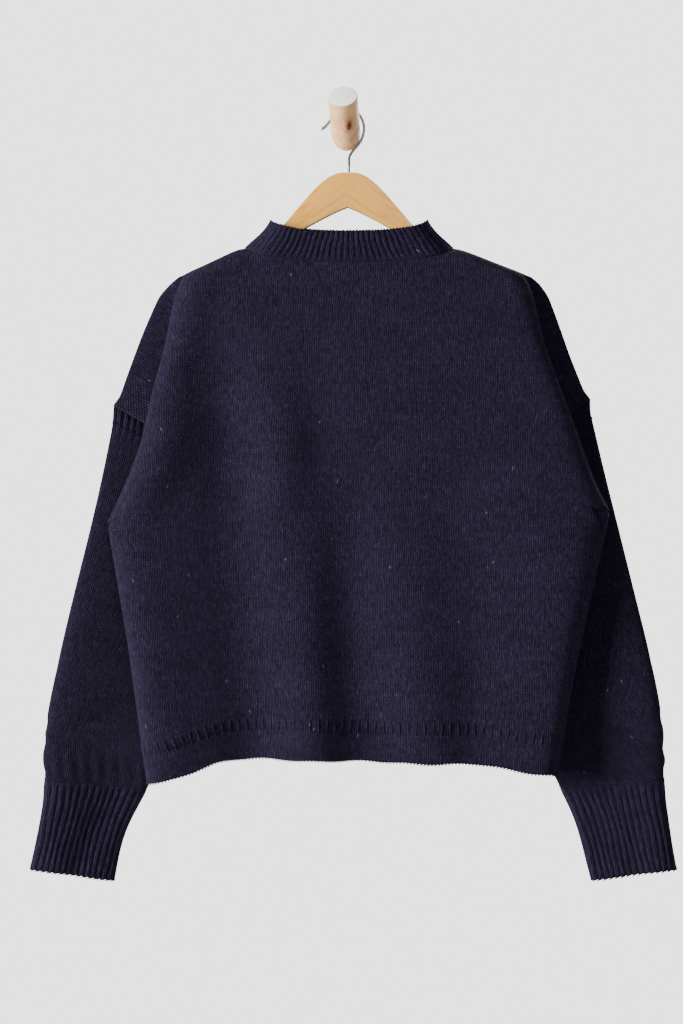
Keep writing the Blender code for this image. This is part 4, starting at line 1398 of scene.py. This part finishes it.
welt_edges = yarn_along(
    "welt_edge_loops",
    [lifted(front_welt_grid, -1, 0.6, False), lifted(back_welt_grid, -1, 0.6, False, True)],
    welt_wool, 4.2, 4.4, 2.2, 0.8, 0.55, 3,
)
ring_edges = yarn_along(
    "rib_edge_loops",
    [
        lifted(cuff_left_grid, -1, 0.5, True),
        lifted(cuff_right_grid, -1, 0.5, True),
        lifted(neck_grid, 0, 0.5, True),
    ],
    rib_wool, 4.2, 4.4, 1.1, 0.6, 0.45, 5,
)
seam_ridges = yarn_along(
    "armhole_seam_ridges",
    [lifted(left_grid, 2, 1.0, True), lifted(right_grid, 2, 1.0, True)],
    sleeve_wool, 4.2, 4.6, 0.9, 0.8, 0.45, 7,
)
# Strands set upright, one for each rib stitch.
RIB_TICK = 15.0
ticks = yarn_along(
    "welt_rib_stitches",
    [
        lifted(front_lower, -2, 0.7, False),
        lifted(back_lower, -2, 0.7, False, True),
    ],
    body_wool, 10.0, RIB_TICK, 0.5, 1.1, math.pi / 2.0, 11,
)

# %% [markdown]
# ## The hanger
#
# A contoured board of pale beech with rounded edges. Its outline is drawn once as a smooth
# closed line and given its thickness as a mesh; a Bevel modifier rounds the edges. The grain
# runs down each arm, so its pattern is turned by the arm's slope and stretched along it.

# %% Hanger
HANGER_Y = -19.0
HANGER_THICK = 10.0
HANGER_ROUND = 3.4
HANGER_EDGE = (
    # x, z along the upper edge from the middle to a tip, then back along the lower edge
    (0, -47),
    (11, -47.8),
    (21, -51.5),
    (31, -58.5),
    (42, -69),
    (60, -89.5),
    (74, -106),
    (84, -117),
    (95, -127.5),
    (110, -138),
    (128, -148.5),
    (158, -164),
    (174, -173),
    (179, -177),
    (181.5, -182),
    (180, -187.5),
    (173, -188.5),
    (120, -156),
    (58, -118.5),
    (20, -98),
    (0, -89),
)


def smooth_route(points, steps):
    """Points on a rounded curve through a route's own points."""
    row = np.array(points, float)
    ends = np.vstack([2 * row[:1] - row[1:2], row, 2 * row[-1:] - row[-2:-1]])
    made = []
    for i in range(1, len(ends) - 2):
        a, b, c, d = ends[i - 1], ends[i], ends[i + 1], ends[i + 2]
        for step in range(steps):
            t = step / steps
            made.append(
                0.5 * ((2 * b) + (c - a) * t + (2 * a - 5 * b + 4 * c - d) * t * t
                       + (3 * b - a - 3 * c + d) * t ** 3)
            )
    made.append(row[-1])
    return np.array(made)


def wood_paint(name, pale, dark, axis_scale, roughness, coat, slope=0.0):
    """Fine grain that runs out along x and down by a slope, the same on both sides."""
    paint = Paint(name, Roughness=roughness)
    paint.shader.inputs["Coat Weight"].default_value = coat
    paint.shader.inputs["Coat Roughness"].default_value = 0.25
    place = paint.node("ShaderNodeTexCoord").outputs["Object"]
    parts = paint.node("ShaderNodeSeparateXYZ", Vector=place)
    out = Value(paint, parts.outputs[0]).math("ABSOLUTE")
    high = Value(paint, parts.outputs[2])
    along = out * math.cos(slope) - high * math.sin(slope)
    up = out * math.sin(slope) + high * math.cos(slope)
    turned = paint.join(along, parts.outputs[1], up)
    stretched = paint.node("ShaderNodeMapping", Vector=turned, Scale=axis_scale).outputs[0]
    rings = paint.noise(stretched, 1.0, 4.0, 0.6)
    fine = paint.noise(stretched, 5.0, 3.0, 0.6)
    lines = (rings * 34.0).math("SINE") * 0.5 + 0.5
    share = lines * 0.35 + rings * 0.4 + fine * 0.35
    wood = paint.node(
        "ShaderNodeValToRGB", {"stops": ((0.25, dark), (0.62, pale), (0.9, pale))}, Fac=share
    ).outputs[0]
    paint.colour(wood)
    paint.link(fine * 0.18 + (roughness - 0.09), paint.shader.inputs["Roughness"])
    paint.bump(fine * 0.6 + lines * 0.2, 0.25, 0.0004)
    return paint, share, place, wood


beech = wood_paint(
    "hanger_beech", (0.60, 0.295, 0.040), (0.48, 0.205, 0.021), (5.0, 60.0, 60.0), 0.42, 0.2, 0.55
)[0]
hanger_points = smooth_route(HANGER_EDGE, 5)
hanger_left = hanger_points[-2:0:-1] * (-1.0, 1.0)
hanger_outline = np.vstack([hanger_points, hanger_left])


def board(name, outline, front_y, thick, surface):
    """A flat board with the given outline, each face one polygon, its edges rounded."""
    count = len(outline)
    places = [(x, front_y, z) for x, z in outline] + [(x, front_y + thick, z) for x, z in outline]
    faces = [list(range(count))[::-1], list(range(count, 2 * count))]
    faces += [[i, (i + 1) % count, (i + 1) % count + count, i + count] for i in range(count)]
    made = placed(name, smooth_mesh(name, places, faces, surface))
    bevel = made.modifiers.new("rounded_edges", "BEVEL")
    bevel.width = HANGER_ROUND * MM
    bevel.segments = 4
    bevel.limit_method = "ANGLE"
    bevel.angle_limit = math.radians(50)
    made_mesh = bpy.data.meshes.new_from_object(
        made.evaluated_get(bpy.context.evaluated_depsgraph_get())
    )
    made.modifiers.clear()
    made.data = made_mesh
    made_mesh.set_sharp_from_angle(angle=math.radians(35))
    print(f"{name}: {len(made_mesh.polygons)} faces")
    return made


hanger_front = HANGER_Y - HANGER_THICK / 2.0
hanger = board("hanger_board", hanger_outline, hanger_front, HANGER_THICK, beech.material)

# %% [markdown]
# ## Hook and peg
#
# The hook is plated steel wire, swept along its route. The peg is turned from
# pine, cut on a slant at the wall, with a white painted end and one dark knot.

# %% Hook
HOOK_ROUTE = (
    # x, y, z of the wire from its foot in the hanger to its tip
    (1, -19, -46.4),
    (1.5, -17, -36),
    (1.8, -14.5, -28),
    (5.0, -12, -20.5),
    (11, -9.5, -13),
    (16, -7, -5.5),
    (19.2, -5.5, 3.5),
    (19.6, -5, 13),
    (16.4, -5, 22.5),
    (9.5, -5, 30.5),
    (0, -5, 33.9),
    (-9.5, -5, 32.4),
    (-17.4, -5, 26),
    (-22, -5, 18),
    (-26.4, -5, 12.6),
    (-31.2, -5, 8.8),
)

steel = Paint("hook_steel", Metallic=1.0, Roughness=0.28)
steel_place = steel.node("ShaderNodeTexCoord").outputs["Object"]
steel_speck = steel.noise(steel_place, 420.0, 3.0, 0.6)
steel.link(steel_speck * 0.22 + 0.2, steel.shader.inputs["Roughness"])
steel.colour(steel.blend(steel_speck, (0.24, 0.24, 0.25, 1.0), (0.38, 0.38, 0.38, 1.0)))
steel.bump(steel_speck, 0.15, 0.0002)


def wire(name, route, radius, surface):
    """A round wire along a route, with domed ends."""
    along = np.gradient(route, axis=0)
    along /= np.linalg.norm(along, axis=1, keepdims=True)
    out = np.cross(along[0], (0.0, 1.0, 0.0))
    count = 16
    angles = np.arange(count) * 2.0 * math.pi / count
    rings = []
    steps = [(0, k) for k in (0.0, 0.35, 0.7)] + [(i, 1.0) for i in range(len(route))]
    steps += [(len(route) - 1, k) for k in (0.7, 0.35, 0.0)]
    for i, share in steps:
        out = out - along[i] * (out @ along[i])
        out /= np.linalg.norm(out)
        over = np.cross(along[i], out)
        end = 0.0 if share == 1.0 else math.sqrt(max(0.0, 1.0 - share * share))
        shift = along[i] * radius * end * (-1.0 if i == 0 else 1.0)
        size = radius * max(share, 0.05)
        ring = [route[i] + shift + (out * math.cos(v) + over * math.sin(v)) * size for v in angles]
        rings.append(np.array(ring))
    faces = grid_ids(len(rings), count, closed=True)[:, [0, 3, 2, 1]].tolist()
    faces.append(list(range(count))[::-1])
    faces.append([(len(rings) - 1) * count + j for j in range(count)])
    print(f"{name}: {len(faces)} faces")
    return placed(name, smooth_mesh(name, np.vstack(rings), faces, surface))


WIRE_RADIUS = 1.8
hook = wire("hook_wire", smooth_route(HOOK_ROUTE, 8), WIRE_RADIUS, steel.material)

# %% Peg
PEG_RADIUS = 17.8
PEG_KNOT = np.array((3.6, -31.0, 0.0))
PEG_LENGTH = 57.5
PEG_TILT = 38.0
PEG_LEAN = 3.5
PEG_BEVEL = 1.6

pine, pine_share, pine_place, pine_colour = wood_paint(
    "peg_pine", (0.74, 0.44, 0.22), (0.58, 0.31, 0.13), (45.0, 30.0, 16.0), 0.55, 0.0
)
knot_offset = pine.node(
    "ShaderNodeVectorMath", {"operation": "SUBTRACT"}, _0=pine_place, _1=tuple(PEG_KNOT * MM)
).outputs[0]
knot_parts = pine.node("ShaderNodeSeparateXYZ", Vector=knot_offset)
knot_x = Value(pine, knot_parts.outputs[0]) * TO_MM
knot_y = Value(pine, knot_parts.outputs[1]) * TO_MM
knot_far = (knot_x * knot_x + knot_y * knot_y * 0.3).math("SQRT") + (pine_share - 0.5) * 2.0
knot_ring = pine.node(
    "ShaderNodeValToRGB",
    {"stops": (
        (0.10, (0.10, 0.045, 0.018)), (0.22, (0.30, 0.13, 0.045)), (0.36, (0.75, 0.62, 0.48)),
        (0.60, (1.0, 1.0, 1.0)),
    )},
    Fac=knot_far * 0.1,
).outputs[0]
pine.colour(pine.blend(1.0, pine_colour, knot_ring, "MULTIPLY"))
paint_white = Paint("peg_white_paint", Roughness=0.5)
white_place = paint_white.node("ShaderNodeTexCoord").outputs["Object"]
white_noise = paint_white.noise(white_place, 160.0, 3.0, 0.55)
paint_white.colour(paint_white.blend(white_noise, (0.84, 0.82, 0.79, 1.0), (0.93, 0.92, 0.90, 1.0)))
paint_white.bump(white_noise, 0.2, 0.0005)


def peg(name):
    """The turned peg, from its slanting cut at the wall to its rounded, painted end."""
    tilt, lean = math.radians(PEG_TILT), math.radians(PEG_LEAN)
    axis = np.array([-math.sin(lean), -math.cos(tilt), math.sin(tilt)])
    axis /= np.linalg.norm(axis)
    side = np.cross(axis, (0.0, 0.0, 1.0))
    side /= np.linalg.norm(side)
    over = np.cross(side, axis)
    count = 64
    profile = [(PEG_RADIUS, PEG_LENGTH * share) for share in (0.25, 0.5, 0.75)]
    for step in range(5):
        angle = math.radians(90.0 * step / 4.0)
        inward = PEG_BEVEL * (1.0 - math.cos(angle))
        ahead = PEG_BEVEL * math.sin(angle)
        profile.append((PEG_RADIUS - inward, PEG_LENGTH - PEG_BEVEL + ahead))
    rings = []
    for i in range(count):
        angle = 2.0 * math.pi * i / count
        out = side * math.cos(angle) + over * math.sin(angle)
        start = PEG_PLACE + out * PEG_RADIUS
        line = [start - axis * (start[1] / axis[1])]
        line += [PEG_PLACE + out * radius + axis * length for radius, length in profile]
        rings.append(line)
    rings = np.array(rings).transpose(1, 0, 2)
    end = PEG_PLACE + axis * PEG_LENGTH
    points = np.vstack([rings.reshape(-1, 3), end[None], PEG_PLACE[None]])
    levels = len(rings)
    faces = grid_ids(levels, count, closed=True)[:, [3, 0, 1, 2]].tolist()
    slots = [1 if k >= levels - 3 else 0 for k in range(levels - 1) for i in range(count)]
    tip, foot = levels * count, levels * count + 1
    for i in range(count):
        j = (i + 1) % count
        faces.append(((levels - 1) * count + j, (levels - 1) * count + i, tip))
        slots.append(1)
        faces.append((i, j, foot))
        slots.append(0)
    mesh = smooth_mesh(name, points, faces, pine.material, paint_white.material)
    mesh.polygons.foreach_set("material_index", slots)
    mesh.set_sharp_from_angle(angle=math.radians(40))
    print(f"{name}: {len(faces)} faces")
    return placed(name, mesh)


peg_piece = peg("peg_turned")

# %% [markdown]
# ## What stands for what
#
# Every new piece is attached to the root body, and each piece that refines a solid hides that solid.

# %% Frame calls
CLOTH = (
    # piece, node, flat size in metres, area in square metres, what it hangs from
    (front, "front", (0.62, 0.60), 0.36, ["hanger_body"]),
    (back, "back", (0.62, 0.62), 0.36, ["hanger_body"]),
    (front_welt, "front_welt", (0.51, 0.036), None, ["sweater_front"]),
    (back_welt, "back_welt", (0.51, 0.036), None, ["sweater_back"]),
    (gusset_left, "underarm_gusset_left", (0.058, 0.058), 0.0021, ["sweater_front"]),
    (gusset_right, "underarm_gusset_right", (0.058, 0.058), 0.0020, ["sweater_front"]),
    (sleeve_left, "sleeve_left", (0.46, 0.43), None, ["sweater_front"]),
    (sleeve_right, "sleeve_right", (0.46, 0.43), None, ["sweater_front"]),
    (cuff_left, "cuff_left", (0.23, 0.115), None, ["sweater_sleeve_left"]),
    (cuff_right, "cuff_right", (0.23, 0.115), None, ["sweater_sleeve_right"]),
    (neck, "neckband", (0.50, 0.036), None, ["sweater_front"]),
)
for piece, node, flat, area, rests in CLOTH:
    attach(piece, "root")
    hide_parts(node)
for piece, slot in (
    (welt_edges, "front_welt"), (ring_edges, "neckband"),
    (seam_ridges, "sleeve_left"), (ticks, "front"),
):
    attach(piece, "root")
for piece, node in ((hanger, "hanger_body"), (hook, "hanger_hook"), (peg_piece, "wall_peg")):
    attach(piece, "root")
    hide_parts(node)
print("sheets:", len(CLOTH))

# %% [markdown]
# ## Floor, light and camera
#
# A pale room with one large soft light from the left, a weak one from the right and one for
# the back, so the folds read clearly. The camera looks straight at the sweater.

# %% Stage
def floor_disc(height, radius):
    """A round, pale floor."""
    mesh = bpy.data.meshes.new("floor")
    tools = bmesh.new()
    bmesh.ops.create_circle(tools, cap_ends=True, radius=radius, segments=96)
    tools.to_mesh(mesh)
    tools.free()
    mesh.transform(mathutils.Matrix.Translation((0.0, 0.0, height)))
    pale = Paint("floor_pale", Roughness=0.9)
    pale.shader.inputs["Base Color"].default_value = (0.72, 0.72, 0.71, 1.0)
    mesh.materials.append(pale.material)
    return placed("floor", mesh)


floor = floor_disc(-1.75, 1.1)

world = bpy.data.worlds.new("pale_room")
bpy.context.scene.world = world
world.use_nodes = True
air = world.node_tree
background = air.nodes["Background"]
background.inputs["Color"].default_value = (1.0, 1.0, 0.99, 1.0)
path = air.nodes.new("ShaderNodeLightPath")
strength = air.nodes.new("ShaderNodeMapRange")
strength.inputs["To Min"].default_value = 0.34
strength.inputs["To Max"].default_value = 2.75
air.links.new(path.outputs["Is Camera Ray"], strength.inputs["Value"])
air.links.new(strength.outputs["Result"], background.inputs["Strength"])


def soft_light(name, place, target, size, power, colour=(1.0, 1.0, 1.0)):
    """A rectangular light that looks at a target."""
    lamp = bpy.data.lights.new(name, "AREA")
    lamp.shape = "RECTANGLE"
    lamp.size, lamp.size_y = size
    lamp.energy = power
    lamp.color = colour
    made = placed(name, lamp)
    made.location = place
    aim = np.array(target) - np.array(place)
    made.rotation_euler = mathutils.Vector(aim).to_track_quat("-Z", "Y").to_euler()
    made.visible_camera = False


centre = (0.0, -0.02, -0.45)
soft_light("window", (-5.0, -2.35, 0.4), centre, (1.9, 2.7), 1260.0, (1.0, 0.99, 0.97))
soft_light("fill", (1.0, -2.9, 0.3), centre, (1.6, 1.6), 30.0, (0.96, 0.97, 1.0))
soft_light("behind", (1.2, 2.4, 0.6), centre, (1.8, 1.8), 130.0)

# %% Camera
lens = bpy.data.cameras.new("camera")
lens.lens = 70.0
lens.sensor_width = 36.0
lens.clip_end = 20.0
camera = placed("camera", lens)
camera.location = (-0.0053, -2.434, -0.4639)
camera.rotation_euler = (math.radians(90.0), 0.0, 0.0)
bpy.context.scene.camera = camera
